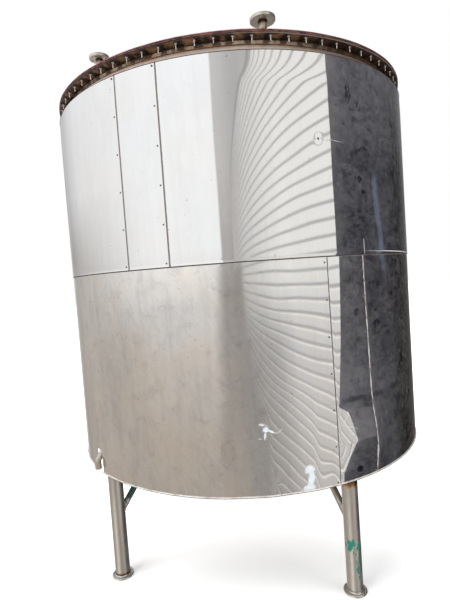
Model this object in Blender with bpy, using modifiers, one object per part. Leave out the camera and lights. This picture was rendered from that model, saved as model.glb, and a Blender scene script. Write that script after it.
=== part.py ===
"""Vertical storage tank on four tube legs: a stainless vessel with a bolted lid, in riveted cladding.

Units are metres and +Z is up. The origin is on the floor, under the tank's axis, and -Y is the front.
Azimuths are in degrees, measured from the front towards +X.
"""

from math import asin, cos, hypot, pi, radians, sin, tan

import bmesh
import bpy
from mathutils import Matrix, Vector

# Heights above the floor
SEAM_HEIGHT = 1.541
CLADDING_TOP = SEAM_HEIGHT + 0.850
CLADDING_BOTTOM = SEAM_HEIGHT - 1.004
FLANGE_UNDERSIDE = SEAM_HEIGHT + 0.918
DISH_EDGE = SEAM_HEIGHT - 0.800
GAP = 0.0003

# Vessel
VESSEL_RADIUS = 0.948
VESSEL_WALL = 0.004
KNUCKLE_RADIUS = 0.150
CROWN_RADIUS = 1.900
KNUCKLE_STEPS = 4
CROWN_STEPS = 5
WALL_SEGMENTS = 4
WALL_STEPS = 24
WALL_START = 45.0

# Cladding: two tiers of sheets, each with a narrow make-up strip. The upper tier laps over the lower.
UPPER_RADIUS = 1.000
LOWER_RADIUS = 0.9972
SHEET = 0.002
TIER_LAP = 0.022
SHEET_STEPS = 36
STRIP_STEPS = 4
STRIP_SWEEP = 12.2
UPPER_STRIP_START = -29.2
LOWER_STRIP_START = 22.4
SEAM_GAP_DEG = 0.03

# Sloping closure between the vessel and the cladding's top edge, and the flat one behind its bottom edge
CLOSURE_SEGMENTS = 4
CLOSURE_RISE = 0.045
CLOSURE_SHEET = 0.002
CLOSURE_START = -46.0
CLOSURE_STEPS = 24
BOTTOM_CLOSURE_HEIGHT = DISH_EDGE + 0.004

# Bolted lid
FLANGE_RADIUS = 0.996
FLANGE_INNER = 0.920
SHELL_FLANGE = 0.0045
GASKET = 0.007
LID_FLANGE = 0.005
LID_SLOPE = 12.0
LID_PLATE = 0.004
LID_MIDDLE_RING = 0.450
ROUND_STEPS = 96
LID_STEPS = 48

# A turned piece that goes round another one clears the flats between its own corners by this factor
ROUND_CLEARANCE = 1 / cos(pi / ROUND_STEPS)

# Legs
LEG_AZIMUTHS = {"front_left": -46.7, "front_right": 27.2, "back_left": 207.2, "back_right": 133.3}
LEG_CIRCLE = 0.955
LEG_RADIUS = 0.0362
LEG_WALL = 0.003
LEG_TOP = DISH_EDGE - 0.006
FOOT_RADIUS = 0.0535
FOOT_THICKNESS = 0.012
FOOT_EDGE = 0.004
FOOT_STEPS = 32
BRACE_RADIUS = 0.016
BRACE_LOW = SEAM_HEIGHT - 1.235
BRACE_SLOPE = 48.0
BRACE_UNCUT = 0.450
TUBE_STEPS = 24
BAR_RESOLUTION = 3

# What is welded to the vessel is cut this far off its faceted outside, by a cutter that reaches this high
VESSEL_CLEARANCE = 0.0025
VESSEL_CUTTER_RISE = 0.200

# Drain spout in a slot at the front left
SPOUT_AZIMUTH = -50.5
SPOUT_RADIUS = 0.0162
SPOUT_WALL = 0.003
SPOUT_CIRCLE = 1.011
SPOUT_END = SEAM_HEIGHT - 0.988
SPOUT_BEND = SEAM_HEIGHT - 0.944
SPOUT_SLOPE = 52.0
SPOUT_SLANT = 0.13
SPOUT_BORE_OVERRUN = 0.020
SLOT_WIDTH = 0.052
SLOT_TOP = SEAM_HEIGHT - 0.885
SLOT_CUTTER_DEPTH = 0.100

# Nozzles on the lid, with DN32 and DN25 flanges: place, height of the face, radii, and turn of the bolt holes
NOZZLES = {
    "middle": dict(x=0.225, y=-0.345, face=SEAM_HEIGHT + 1.331, flange=0.070, thick=0.018, pipe=0.0212,
                   bolt_circle=0.050, bolt_hole=0.009, turn=78.0),
    "left": dict(x=-0.724, y=-0.205, face=SEAM_HEIGHT + 1.275, flange=0.0575, thick=0.018, pipe=0.0169,
                 bolt_circle=0.0425, bolt_hole=0.007, turn=80.0),
}
PIPE_WALL = 0.003
PIPE_BELOW_LID = 0.030
NOZZLE_STEPS = 32
BOLT_HOLES = 4
BOLT_HOLE_STEPS = 12
BOLT_HOLE_OVERRUN = 0.010

COLOURS = {
    "cladding": ((0.62, 0.61, 0.59), 1.0, 0.22),
    "vessel": ((0.46, 0.42, 0.36), 1.0, 0.38),
    "flange": ((0.20, 0.13, 0.09), 0.7, 0.55),
    "gasket": ((0.17, 0.06, 0.05), 0.0, 0.75),
    "leg": ((0.55, 0.51, 0.46), 1.0, 0.30),
    "nozzle": ((0.50, 0.46, 0.39), 1.0, 0.35),
}


def clear_scene():
    for obj in list(bpy.data.objects):
        bpy.data.objects.remove(obj, do_unlink=True)


def new_collection(name):
    collection = bpy.data.collections.new(name)
    bpy.context.scene.collection.children.link(collection)
    return collection


def finish_of(name):
    """One Principled material for each kind of metal or rubber, made on first use."""
    found = bpy.data.materials.get(name)
    if found:
        return found
    colour, metallic, roughness = COLOURS[name]
    made = bpy.data.materials.new(name)
    made.use_nodes = True
    shader = made.node_tree.nodes["Principled BSDF"]
    shader.inputs["Base Color"].default_value = (*colour, 1.0)
    shader.inputs["Metallic"].default_value = metallic
    shader.inputs["Roughness"].default_value = roughness
    return made


def place(name, mesh, finish, collection):
    obj = bpy.data.objects.new(name, mesh)
    collection.objects.link(obj)
    if finish:
        mesh.materials.append(finish_of(finish))
    else:
        obj.hide_render = True
        obj.display_type = "WIRE"
    return obj


def profile_mesh(name, points, closed):
    """A line of (radius, height) points in the XZ plane, ready to be turned about Z."""
    mesh = bpy.data.meshes.new(name)
    count = len(points)
    edges = [(i, i + 1) for i in range(count - 1)]
    if closed:
        edges.append((count - 1, 0))
    mesh.from_pydata([(radius, 0.0, height) for radius, height in points], edges, [])
    return mesh


def turn(obj, start, sweep, steps):
    """Screws the profile from one azimuth through a sweep of degrees about the tank's own axis."""
    screw = obj.modifiers.new("turn", "SCREW")
    screw.axis = "Z"
    screw.angle = radians(sweep)
    screw.steps = screw.render_steps = steps
    screw.use_smooth_shade = True
    screw.use_merge_vertices = sweep == 360.0
    screw.merge_threshold = 0.0001
    # Azimuth 0 is -Y, and the profile starts at +X
    obj.rotation_euler.z = radians(start - 90.0)
    return obj


def ring(name, points, finish, collection, steps=ROUND_STEPS):
    """A full turn of a closed outline."""
    return turn(place(name, profile_mesh(name, points, True), finish, collection), 0.0, 360.0, steps)


def shell(name, points, thickness, finish, collection, start=0.0, sweep=360.0, steps=LID_STEPS):
    """A sheet turned from an open outline that runs down its outer side, thickened inwards."""
    obj = turn(place(name, profile_mesh(name, points, False), finish, collection), start, sweep, steps)
    solidify = obj.modifiers.new("thickness", "SOLIDIFY")
    solidify.thickness = thickness
    solidify.offset = -1.0
    solidify.use_even_offset = True
    return obj


def cylinder(name, radius, bottom, top, finish, collection, centre=(0.0, 0.0), steps=TUBE_STEPS):
    mesh = bpy.data.meshes.new(name)
    body = bmesh.new()
    lift = Matrix.Translation((0.0, 0.0, (bottom + top) / 2))
    bmesh.ops.create_cone(body, cap_ends=True, segments=steps, radius1=radius, radius2=radius,
                          depth=top - bottom, matrix=lift)
    body.to_mesh(mesh)
    body.free()
    obj = place(name, mesh, finish, collection)
    obj.location = (*centre, 0.0)
    smooth(obj)
    return obj


def smooth(obj):
    obj.data.shade_smooth()
    obj.data.set_sharp_from_angle(angle=radians(35))


def cut(obj, cutter):
    boolean = obj.modifiers.new("cut " + cutter.name, "BOOLEAN")
    boolean.operation = "DIFFERENCE"
    boolean.object = cutter


def around(radius, azimuth, height=0.0):
    """The point at a radius and an azimuth from the front."""
    return Vector((radius * sin(radians(azimuth)), -radius * cos(radians(azimuth)), height))


def dish_profile(offset):
    """Outline of the dished bottom from its edge to the axis, moved outwards by an offset.

    A knuckle arc meets a wide crown arc where both share one tangent.
    """
    knuckle_centre = VESSEL_RADIUS - KNUCKLE_RADIUS
    reach = CROWN_RADIUS - KNUCKLE_RADIUS
    crown_angle = asin(knuckle_centre / reach)
    crown_centre = DISH_EDGE + reach * cos(crown_angle)
    points = []
    for i in range(KNUCKLE_STEPS + 1):
        angle = radians(90.0) + (crown_angle - radians(90.0)) * i / KNUCKLE_STEPS
        radius = KNUCKLE_RADIUS + offset
        points.append((knuckle_centre + radius * sin(angle), DISH_EDGE - radius * cos(angle)))
    for i in range(1, CROWN_STEPS + 1):
        angle = crown_angle * (1 - i / CROWN_STEPS)
        radius = CROWN_RADIUS + offset
        points.append((radius * sin(angle), crown_centre - radius * cos(angle)))
    return points


def lid_height(radius):
    """Height of the lid cone's upper face."""
    edge = FLANGE_UNDERSIDE + SHELL_FLANGE + GASKET + LID_FLANGE + 2 * GAP
    return edge + (FLANGE_INNER - radius) * tan(radians(LID_SLOPE))


def build_vessel(parts):
    sweep = 360.0 / WALL_SEGMENTS
    for i in range(WALL_SEGMENTS):
        outline = [(VESSEL_RADIUS, FLANGE_UNDERSIDE - GAP), (VESSEL_RADIUS, DISH_EDGE + 3 * GAP)]
        shell(f"vessel_wall_{i + 1}", outline, VESSEL_WALL, "vessel", parts,
              WALL_START + i * sweep, sweep - SEAM_GAP_DEG, WALL_STEPS)
    return shell("vessel_dished_bottom", dish_profile(0.0), VESSEL_WALL, "vessel", parts)


def ring_outline(inner, outer, bottom, top):
    return [(inner, top), (outer, top), (outer, bottom), (inner, bottom)]


def build_lid(parts, cutters):
    """The two flange rings with the gasket between them, and the lid's cone with its nozzle holes."""
    base = FLANGE_UNDERSIDE
    stack = (("vessel_flange", SHELL_FLANGE, "flange"), ("flange_gasket", GASKET, "gasket"),
             ("lid_flange", LID_FLANGE, "flange"))
    for name, thickness, finish in stack:
        ring(name, ring_outline(FLANGE_INNER, FLANGE_RADIUS, base, base + thickness), finish, parts)
        base += thickness + GAP
    outline = [(radius, lid_height(radius)) for radius in (FLANGE_INNER - GAP, LID_MIDDLE_RING, 0.0)]
    cone = shell("lid_cone", outline, LID_PLATE, "vessel", parts)
    # This outline runs inwards, so its faces are turned to point up
    cone.modifiers["turn"].use_normal_flip = True
    for name, size in NOZZLES.items():
        hole = cylinder(f"{name}_nozzle_hole", size["pipe"] + GAP, FLANGE_UNDERSIDE, size["face"], None,
                        cutters, (size["x"], size["y"]))
        cut(cone, hole)


def build_nozzle(name, size, parts, cutters):
    """A pipe stub through the lid with a drilled flange at its end."""
    centre = (size["x"], size["y"])
    reach = hypot(*centre)
    foot = lid_height(reach) - PIPE_BELOW_LID
    low = size["face"] - size["thick"]
    bore = size["pipe"] - PIPE_WALL
    outline = ring_outline(bore, size["pipe"], foot, low - GAP)
    pipe = ring(f"{name}_nozzle_pipe", outline, "nozzle", parts, TUBE_STEPS)
    outline = ring_outline(bore, size["flange"], low, size["face"])
    flange = ring(f"{name}_nozzle_flange", outline, "nozzle", parts, NOZZLE_STEPS)
    pipe.location = flange.location = (*centre, 0.0)
    for i in range(BOLT_HOLES):
        angle = radians(size["turn"] + 360.0 / BOLT_HOLES * i)
        spot = (centre[0] + size["bolt_circle"] * cos(angle), centre[1] + size["bolt_circle"] * sin(angle))
        hole = cylinder(f"{name}_bolt_hole_{i + 1}", size["bolt_hole"], low - BOLT_HOLE_OVERRUN,
                        size["face"] + BOLT_HOLE_OVERRUN, None, cutters, spot, BOLT_HOLE_STEPS)
        cut(flange, hole)


def build_closures(parts):
    """Two rings that close the space between vessel and cladding, each in four segments."""
    sweep = 360.0 / CLOSURE_SEGMENTS
    inner = VESSEL_RADIUS * ROUND_CLEARANCE + GAP
    top = [(inner + CLOSURE_SHEET, CLADDING_TOP + CLOSURE_RISE),
           (UPPER_RADIUS - SHEET, CLADDING_TOP + CLOSURE_SHEET)]
    bottom = [(inner, BOTTOM_CLOSURE_HEIGHT), (LOWER_RADIUS - SHEET - 2 * GAP, BOTTOM_CLOSURE_HEIGHT)]
    for i in range(CLOSURE_SEGMENTS):
        start = CLOSURE_START + i * sweep
        for name, outline in (("top", top), ("bottom", bottom)):
            shell(f"{name}_closure_{i + 1}", outline, CLOSURE_SHEET, "cladding", parts,
                  start, sweep - SEAM_GAP_DEG, CLOSURE_STEPS)


def build_tier(tier, radius, top, bottom, strip_start, parts):
    """One tier of the cladding: the narrow strip, then three equal sheets round the rest."""
    outline = [(radius, top), (radius, bottom)]
    shell(f"{tier}_strip", outline, SHEET, "cladding", parts,
          strip_start, STRIP_SWEEP - SEAM_GAP_DEG, STRIP_STEPS)
    sweep = (360.0 - STRIP_SWEEP) / 3
    made = []
    for i in range(3):
        start = strip_start + STRIP_SWEEP + i * sweep
        made.append(shell(f"{tier}_sheet_{i + 1}", outline, SHEET, "cladding", parts,
                          start, sweep - SEAM_GAP_DEG, SHEET_STEPS))
    return made


def build_cladding(parts, cutters):
    """Both tiers. The spout's slot is in the lower tier's last sheet, the wide front one."""
    build_tier("upper", UPPER_RADIUS, CLADDING_TOP, SEAM_HEIGHT, UPPER_STRIP_START, parts)
    lap = SEAM_HEIGHT + TIER_LAP
    lower = build_tier("lower", LOWER_RADIUS, lap, CLADDING_BOTTOM, LOWER_STRIP_START, parts)
    cut(lower[-1], slot_cutter(cutters))


def slot_cutter(cutters):
    """A block for the spout's slot, which is open at the cladding's bottom edge."""
    low = CLADDING_BOTTOM - SLOT_CUTTER_DEPTH
    mesh = bpy.data.meshes.new("spout_slot")
    body = bmesh.new()
    bmesh.ops.create_cube(body, size=1.0)
    bmesh.ops.scale(body, vec=(SLOT_WIDTH, SLOT_CUTTER_DEPTH, SLOT_TOP - low), verts=body.verts)
    body.to_mesh(mesh)
    body.free()
    slot = place("spout_slot", mesh, None, cutters)
    slot.location = around(LOWER_RADIUS, SPOUT_AZIMUTH, (SLOT_TOP + low) / 2)
    slot.rotation_euler.z = radians(SPOUT_AZIMUTH)
    return slot


def tube_mesh(name, points, radius, collection, finish):
    """A solid round bar along straight stretches, made a closed mesh so that it can be cut."""
    curve = bpy.data.curves.new(name, "CURVE")
    curve.dimensions = "3D"
    curve.bevel_depth = radius
    curve.bevel_resolution = BAR_RESOLUTION
    curve.use_fill_caps = True
    spline = curve.splines.new("POLY")
    spline.points.add(len(points) - 1)
    for point, spot in zip(spline.points, points):
        point.co = (*spot, 1.0)
    guide = bpy.data.objects.new(name + "_guide", curve)
    collection.objects.link(guide)
    bpy.context.view_layer.update()
    mesh = bpy.data.meshes.new_from_object(guide.evaluated_get(bpy.context.evaluated_depsgraph_get()))
    matrix = guide.matrix_world.copy()
    bpy.data.objects.remove(guide, do_unlink=True)
    body = bmesh.new()
    body.from_mesh(mesh)
    bmesh.ops.remove_doubles(body, verts=body.verts, dist=0.00001)
    bmesh.ops.recalc_face_normals(body, faces=body.faces)
    body.to_mesh(mesh)
    body.free()
    mesh.materials.clear()
    obj = place(name, mesh, finish, collection)
    obj.matrix_world = matrix
    smooth(obj)
    return obj


def vessel_cutter(cutters):
    """The vessel's outside with a small gap, which the legs, braces and spout are cut to."""
    top = DISH_EDGE + VESSEL_CUTTER_RISE
    points = [(0.0, top), (VESSEL_RADIUS + VESSEL_CLEARANCE, top)] + dish_profile(VESSEL_CLEARANCE)
    cutter = place("vessel_outside", profile_mesh("vessel_outside", points, False), None, cutters)
    return turn(cutter, 0.0, 360.0, ROUND_STEPS)


def build_leg(name, azimuth, parts, cutters, outside):
    """A round foot, a tube up to the vessel's knuckle, and a brace from the tube to the dished bottom."""
    centre = around(LEG_CIRCLE, azimuth)
    build_foot(f"{name}_foot", parts).location = centre
    outline = ring_outline(LEG_RADIUS - LEG_WALL, LEG_RADIUS, FOOT_THICKNESS + GAP, LEG_TOP)
    tube = ring(f"{name}_leg", outline, "leg", parts, TUBE_STEPS)
    tube.location = centre
    cut(tube, outside)
    inward = around(-1.0, azimuth)
    slope = Vector((inward.x, inward.y, tan(radians(BRACE_SLOPE)))).normalized()
    low = centre + Vector((0.0, 0.0, BRACE_LOW))
    brace = tube_mesh(f"{name}_brace", [low, low + slope * BRACE_UNCUT], BRACE_RADIUS, parts, "leg")
    cut(brace, outside)
    around_leg = cylinder(f"{name}_brace_trim", LEG_RADIUS + 2 * GAP, 0.0, LEG_TOP, None, cutters,
                          (centre.x, centre.y), 2 * TUBE_STEPS)
    cut(brace, around_leg)


def build_foot(name, parts):
    """The round foot plate with its upper edge chamfered."""
    points = [(0.0, FOOT_THICKNESS), (FOOT_RADIUS - FOOT_EDGE, FOOT_THICKNESS),
              (FOOT_RADIUS, FOOT_THICKNESS - FOOT_EDGE), (FOOT_RADIUS, 0.0), (0.0, 0.0)]
    return turn(place(name, profile_mesh(name, points, False), "leg", parts), 0.0, 360.0, FOOT_STEPS)


def build_spout(parts, cutters, outside, dish):
    """The drain: out of the knuckle on a slant, then straight down outside the cladding.

    Its bore is cut through the dished bottom too.
    """
    bend = around(SPOUT_CIRCLE, SPOUT_AZIMUTH, SPOUT_BEND)
    end = around(SPOUT_CIRCLE, SPOUT_AZIMUTH, SPOUT_END)
    slant = around(-1.0, SPOUT_AZIMUTH, tan(radians(SPOUT_SLOPE))).normalized()
    start = bend + slant * SPOUT_SLANT
    spout = tube_mesh("drain_spout", [start, bend, end], SPOUT_RADIUS, parts, "leg")
    below = Vector((0.0, 0.0, -SPOUT_BORE_OVERRUN))
    bore = tube_mesh("spout_bore", [start + slant * SPOUT_BORE_OVERRUN, bend, end + below],
                     SPOUT_RADIUS - SPOUT_WALL, cutters, None)
    cut(spout, outside)
    cut(spout, bore)
    cut(dish, bore)


def main():
    clear_scene()
    parts = new_collection("vertical_storage_tank")
    cutters = new_collection("cutters")
    dish = build_vessel(parts)
    build_lid(parts, cutters)
    for name, size in NOZZLES.items():
        build_nozzle(name, size, parts, cutters)
    build_closures(parts)
    build_cladding(parts, cutters)
    outside = vessel_cutter(cutters)
    for name, azimuth in LEG_AZIMUTHS.items():
        build_leg(name, azimuth, parts, cutters, outside)
    build_spout(parts, cutters, outside, dish)


if __name__ == "__main__":
    main()
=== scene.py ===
"""The looks of a vertical storage tank: stainless vessel with a bolted lid, in riveted sheet cladding, on tube legs.

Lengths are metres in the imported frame, +Z up, with the tank's axis at x = y = 0. An azimuth is in degrees from
the front (-Y) towards +X, and a height named "level" is measured from the seam between the two cladding tiers.
"""

import logging
from dataclasses import dataclass, field
from enum import Enum
from math import cos, degrees, hypot, pi, radians, sin, tan

import bmesh
import bpy
import numpy as np
from mathutils import Matrix, Vector


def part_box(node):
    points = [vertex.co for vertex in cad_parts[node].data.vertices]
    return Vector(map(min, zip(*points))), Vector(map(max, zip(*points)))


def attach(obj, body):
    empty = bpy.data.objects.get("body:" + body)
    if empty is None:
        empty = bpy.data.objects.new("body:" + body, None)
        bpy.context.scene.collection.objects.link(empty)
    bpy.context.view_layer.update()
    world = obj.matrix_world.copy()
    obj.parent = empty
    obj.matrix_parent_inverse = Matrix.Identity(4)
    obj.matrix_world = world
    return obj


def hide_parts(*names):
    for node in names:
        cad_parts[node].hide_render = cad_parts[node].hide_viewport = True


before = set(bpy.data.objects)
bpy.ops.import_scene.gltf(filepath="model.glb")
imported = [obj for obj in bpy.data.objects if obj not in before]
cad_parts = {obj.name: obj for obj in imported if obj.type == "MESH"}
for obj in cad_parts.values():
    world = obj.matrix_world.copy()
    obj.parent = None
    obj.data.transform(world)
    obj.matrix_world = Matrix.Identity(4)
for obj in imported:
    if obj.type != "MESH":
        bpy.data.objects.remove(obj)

log = logging.getLogger("tank")

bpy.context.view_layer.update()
BODY = "root"

# The longer side of the photograph in pixels
IMAGE_HEIGHT = 600

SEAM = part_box("upper_sheet_1")[0].z
CLADDING_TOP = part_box("upper_sheet_1")[1].z
CLADDING_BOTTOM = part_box("lower_sheet_1")[0].z
DISH_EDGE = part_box("vessel_dished_bottom")[1].z
RIM_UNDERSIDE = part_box("vessel_flange")[0].z
UPPER_RADIUS = 1.000
LOWER_RADIUS = 0.9972
VESSEL_RADIUS = 0.948

Array = np.ndarray


class Tier(Enum):
    """The two rows of cladding sheets."""

    UPPER = "upper"
    LOWER = "lower"


def around(azimuth: Array, radius: Array, height: Array) -> Array:
    """Points on turned surfaces: x = r sin a, y = -r cos a, z = height.

    Args:
        azimuth: degrees from the front towards +X.
        radius: distance from the tank's axis.
        height: metres above the floor.

    Returns:
        An array of points whose last axis is x, y, z.
    """
    azimuth, radius, height = np.broadcast_arrays(azimuth, radius, height)
    turn = np.radians(azimuth)
    return np.stack([radius * np.sin(turn), -radius * np.cos(turn), height], axis=-1)


def smoothstep(low: float, high: float, value: Array) -> Array:
    """A ramp from 0 at low to 1 at high: 3 t squared less 2 t cubed."""
    t = np.clip((value - low) / (high - low), 0.0, 1.0)
    return t * t * (3.0 - 2.0 * t)


def spaced(low: float, high: float, step: float) -> Array:
    """Evenly spaced values from low to high, about a step apart."""
    return np.linspace(low, high, max(2, int(round((high - low) / step)) + 1))


def grid_faces(rows: int, columns: int, wrap_rows: bool, wrap_columns: bool) -> Array:
    """Quads of a grid whose point (i, j) has the number i * columns + j.

    Args:
        rows: number of points along the first parameter.
        columns: number of points along the second parameter.
        wrap_rows: join the last row to the first.
        wrap_columns: join the last column to the first.

    Returns:
        Vertex numbers, four a face.
    """
    i = np.arange(rows if wrap_rows else rows - 1)[:, None]
    j = np.arange(columns if wrap_columns else columns - 1)[None, :]
    i2, j2 = (i + 1) % rows, (j + 1) % columns
    corners = [i * columns + j, i2 * columns + j, i2 * columns + j2, i * columns + j2]
    return np.stack(np.broadcast_arrays(*corners), axis=-1).reshape(-1, 4)


def make_mesh(name: str, points: Array, faces: Array, crease: float = 40.0) -> bpy.types.Object:
    """Puts points and quads into a new mesh object, smooth except at creases.

    Args:
        name: the piece's name.
        points: vertices, three numbers each.
        faces: vertex numbers, four a face.
        crease: degrees past which an edge stays sharp.

    Returns:
        The new object, at the origin.
    """
    mesh = bpy.data.meshes.new(name)
    points = np.asarray(points, dtype=np.float32).reshape(-1, 3)
    faces = np.asarray(faces, dtype=np.int32).reshape(-1, 4)
    mesh.vertices.add(len(points))
    mesh.vertices.foreach_set("co", points.ravel())
    mesh.loops.add(faces.size)
    mesh.loops.foreach_set("vertex_index", faces.ravel())
    mesh.polygons.add(len(faces))
    mesh.polygons.foreach_set("loop_start", np.arange(0, faces.size, 4, dtype=np.int32))
    mesh.update(calc_edges=True)
    mesh.validate()
    obj = bpy.data.objects.new(name, mesh)
    bpy.context.scene.collection.objects.link(obj)
    heal(mesh)
    mesh.shade_smooth()
    mesh.set_sharp_from_angle(angle=radians(crease))
    return obj


def heal(mesh: bpy.types.Mesh) -> None:
    """Merges the doubled points at poles and drops the faces that they flatten."""
    body = bmesh.new()
    body.from_mesh(mesh)
    bmesh.ops.remove_doubles(body, verts=body.verts, dist=1e-6)
    bmesh.ops.dissolve_degenerate(body, dist=1e-7, edges=body.edges)
    body.to_mesh(mesh)
    body.free()


def full_turn(steps: int) -> Array:
    """Angles of a full turn, in degrees, without the last one."""
    return np.arange(steps) * (360.0 / steps)


def ring(name: str, profile: list, steps: int, centre: tuple = (0.0, 0.0), crease: float = 40.0) -> bpy.types.Object:
    """A closed outline turned all the way round in the given number of steps."""
    outline = np.asarray(profile, dtype=float)
    points = around(full_turn(steps)[:, None], outline[None, :, 0], outline[None, :, 1])
    points = points + np.array([centre[0], centre[1], 0.0])
    return make_mesh(name, points, grid_faces(steps, len(outline), True, True), crease)


def rounded_box(inner: float, outer: float, bottom: float, top: float, edge: float, steps: int = 4) -> list:
    """A ring's section with its four corners as quarter circles of radius edge, counter-clockwise."""
    corners = [(outer - edge, bottom + edge, -90.0), (outer - edge, top - edge, 0.0),
               (inner + edge, top - edge, 90.0), (inner + edge, bottom + edge, 180.0)]
    section = []
    for radius, height, start in corners:
        for angle in np.radians(np.linspace(start, start + 90.0, steps + 1)):
            section.append((radius + edge * cos(angle), height + edge * sin(angle)))
    return section


def sweep(name: str, path: Array, radii: Array, sides: int = 24, crease: float = 40.0) -> bpy.types.Object:
    """A round bar: circles of the given radii set square to a path, whose two ends close in a point.

    Each circle's frame is the last one's, turned by the least angle that follows the path.

    Args:
        name: the piece's name.
        path: centre points, three numbers each.
        radii: the radius at each of them.
        sides: points round each circle.
        crease: degrees past which an edge stays sharp.

    Returns:
        The new object.
    """
    points, faces = swept(path, radii, sides)
    return make_mesh(name, points, faces, crease)


def swept(path: Array, radii: Array, sides: int) -> tuple:
    """Points and quads of a round bar along a path, closed by a point at both ends."""
    path = np.asarray(path, dtype=float)
    radii = np.broadcast_to(np.asarray(radii, dtype=float), len(path))
    tangent = np.gradient(path, axis=0)
    tangent /= np.linalg.norm(tangent, axis=1, keepdims=True)
    guide = np.array([0.0, 0.0, 1.0]) if abs(tangent[0, 2]) < 0.9 else np.array([1.0, 0.0, 0.0])
    across = []
    for direction in tangent:
        guide = guide - direction * (guide @ direction)
        guide = guide / np.linalg.norm(guide)
        across.append(guide)
    across = np.array(across)
    third = np.cross(tangent, across)
    angle = np.arange(sides) * (2.0 * pi / sides)
    circle = (np.cos(angle)[None, :, None] * across[:, None, :] + np.sin(angle)[None, :, None] * third[:, None, :])
    points = path[:, None, :] + radii[:, None, None] * circle
    points = np.concatenate([np.repeat(path[:1, None], sides, 1), points, np.repeat(path[-1:, None], sides, 1)])
    faces = grid_faces(len(points), sides, False, True)[:, ::-1]
    return points.reshape(-1, 3), faces


def scatter(name: str, points: Array, faces: Array, places: Array, crease: float = 35.0) -> bpy.types.Object:
    """Many copies of one small shape, joined in one mesh: each copy is its points times a 4 by 4 matrix."""
    rotated = np.einsum("nij,kj->nki", places[:, :3, :3], points) + places[:, None, :3, 3]
    offset = np.arange(len(places))[:, None, None] * len(points)
    return make_mesh(name, rotated, faces[None] + offset, crease)


def upright(azimuths: Array, radius: float, height: float, spin: Array) -> Array:
    """Places on a circle round the tank's axis, each turned on its own: local z points up."""
    out = around(azimuths, 1.0, 0.0)
    turned = np.radians(spin)[:, None]
    side = np.cross(np.array([0.0, 0.0, 1.0]), out)
    made = np.tile(np.eye(4), (len(azimuths), 1, 1))
    made[:, :3, 0] = np.cos(turned) * out + np.sin(turned) * side
    made[:, :3, 1] = -np.sin(turned) * out + np.cos(turned) * side
    made[:, :3, 3] = around(azimuths, radius, height)
    return made


def facing_out(azimuths: Array, radius: Array, heights: Array) -> Array:
    """Places on a round wall: local z points outwards and local x up."""
    out = around(azimuths, 1.0, 0.0 * np.asarray(azimuths, dtype=float))
    up = np.broadcast_to(np.array([0.0, 0.0, 1.0]), out.shape)
    made = np.tile(np.eye(4), (len(out), 1, 1))
    made[:, :3, 0] = up
    made[:, :3, 1] = np.cross(out, up)
    made[:, :3, 2] = out
    made[:, :3, 3] = around(azimuths, radius, heights)
    return made


def turned_shape(profile: list, sides: int) -> tuple:
    """Points and quads of a small turned shape, from a (radius, height) outline with both ends on the axis."""
    outline = np.asarray(profile, dtype=float)
    angle = np.arange(sides) * (2.0 * pi / sides)
    points = np.stack([outline[None, :, 0] * np.cos(angle)[:, None], outline[None, :, 0] * np.sin(angle)[:, None],
                       np.broadcast_to(outline[None, :, 1], (sides, len(outline)))], axis=-1)
    return points.reshape(-1, 3), grid_faces(sides, len(outline), True, False)


def joined_shapes(*shapes: tuple) -> tuple:
    """Several (points, faces) pairs as one."""
    points, faces, count = [], [], 0
    for one_points, one_faces in shapes:
        points.append(one_points)
        faces.append(one_faces + count)
        count += len(one_points)
    return np.concatenate(points), np.concatenate(faces)


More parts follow.
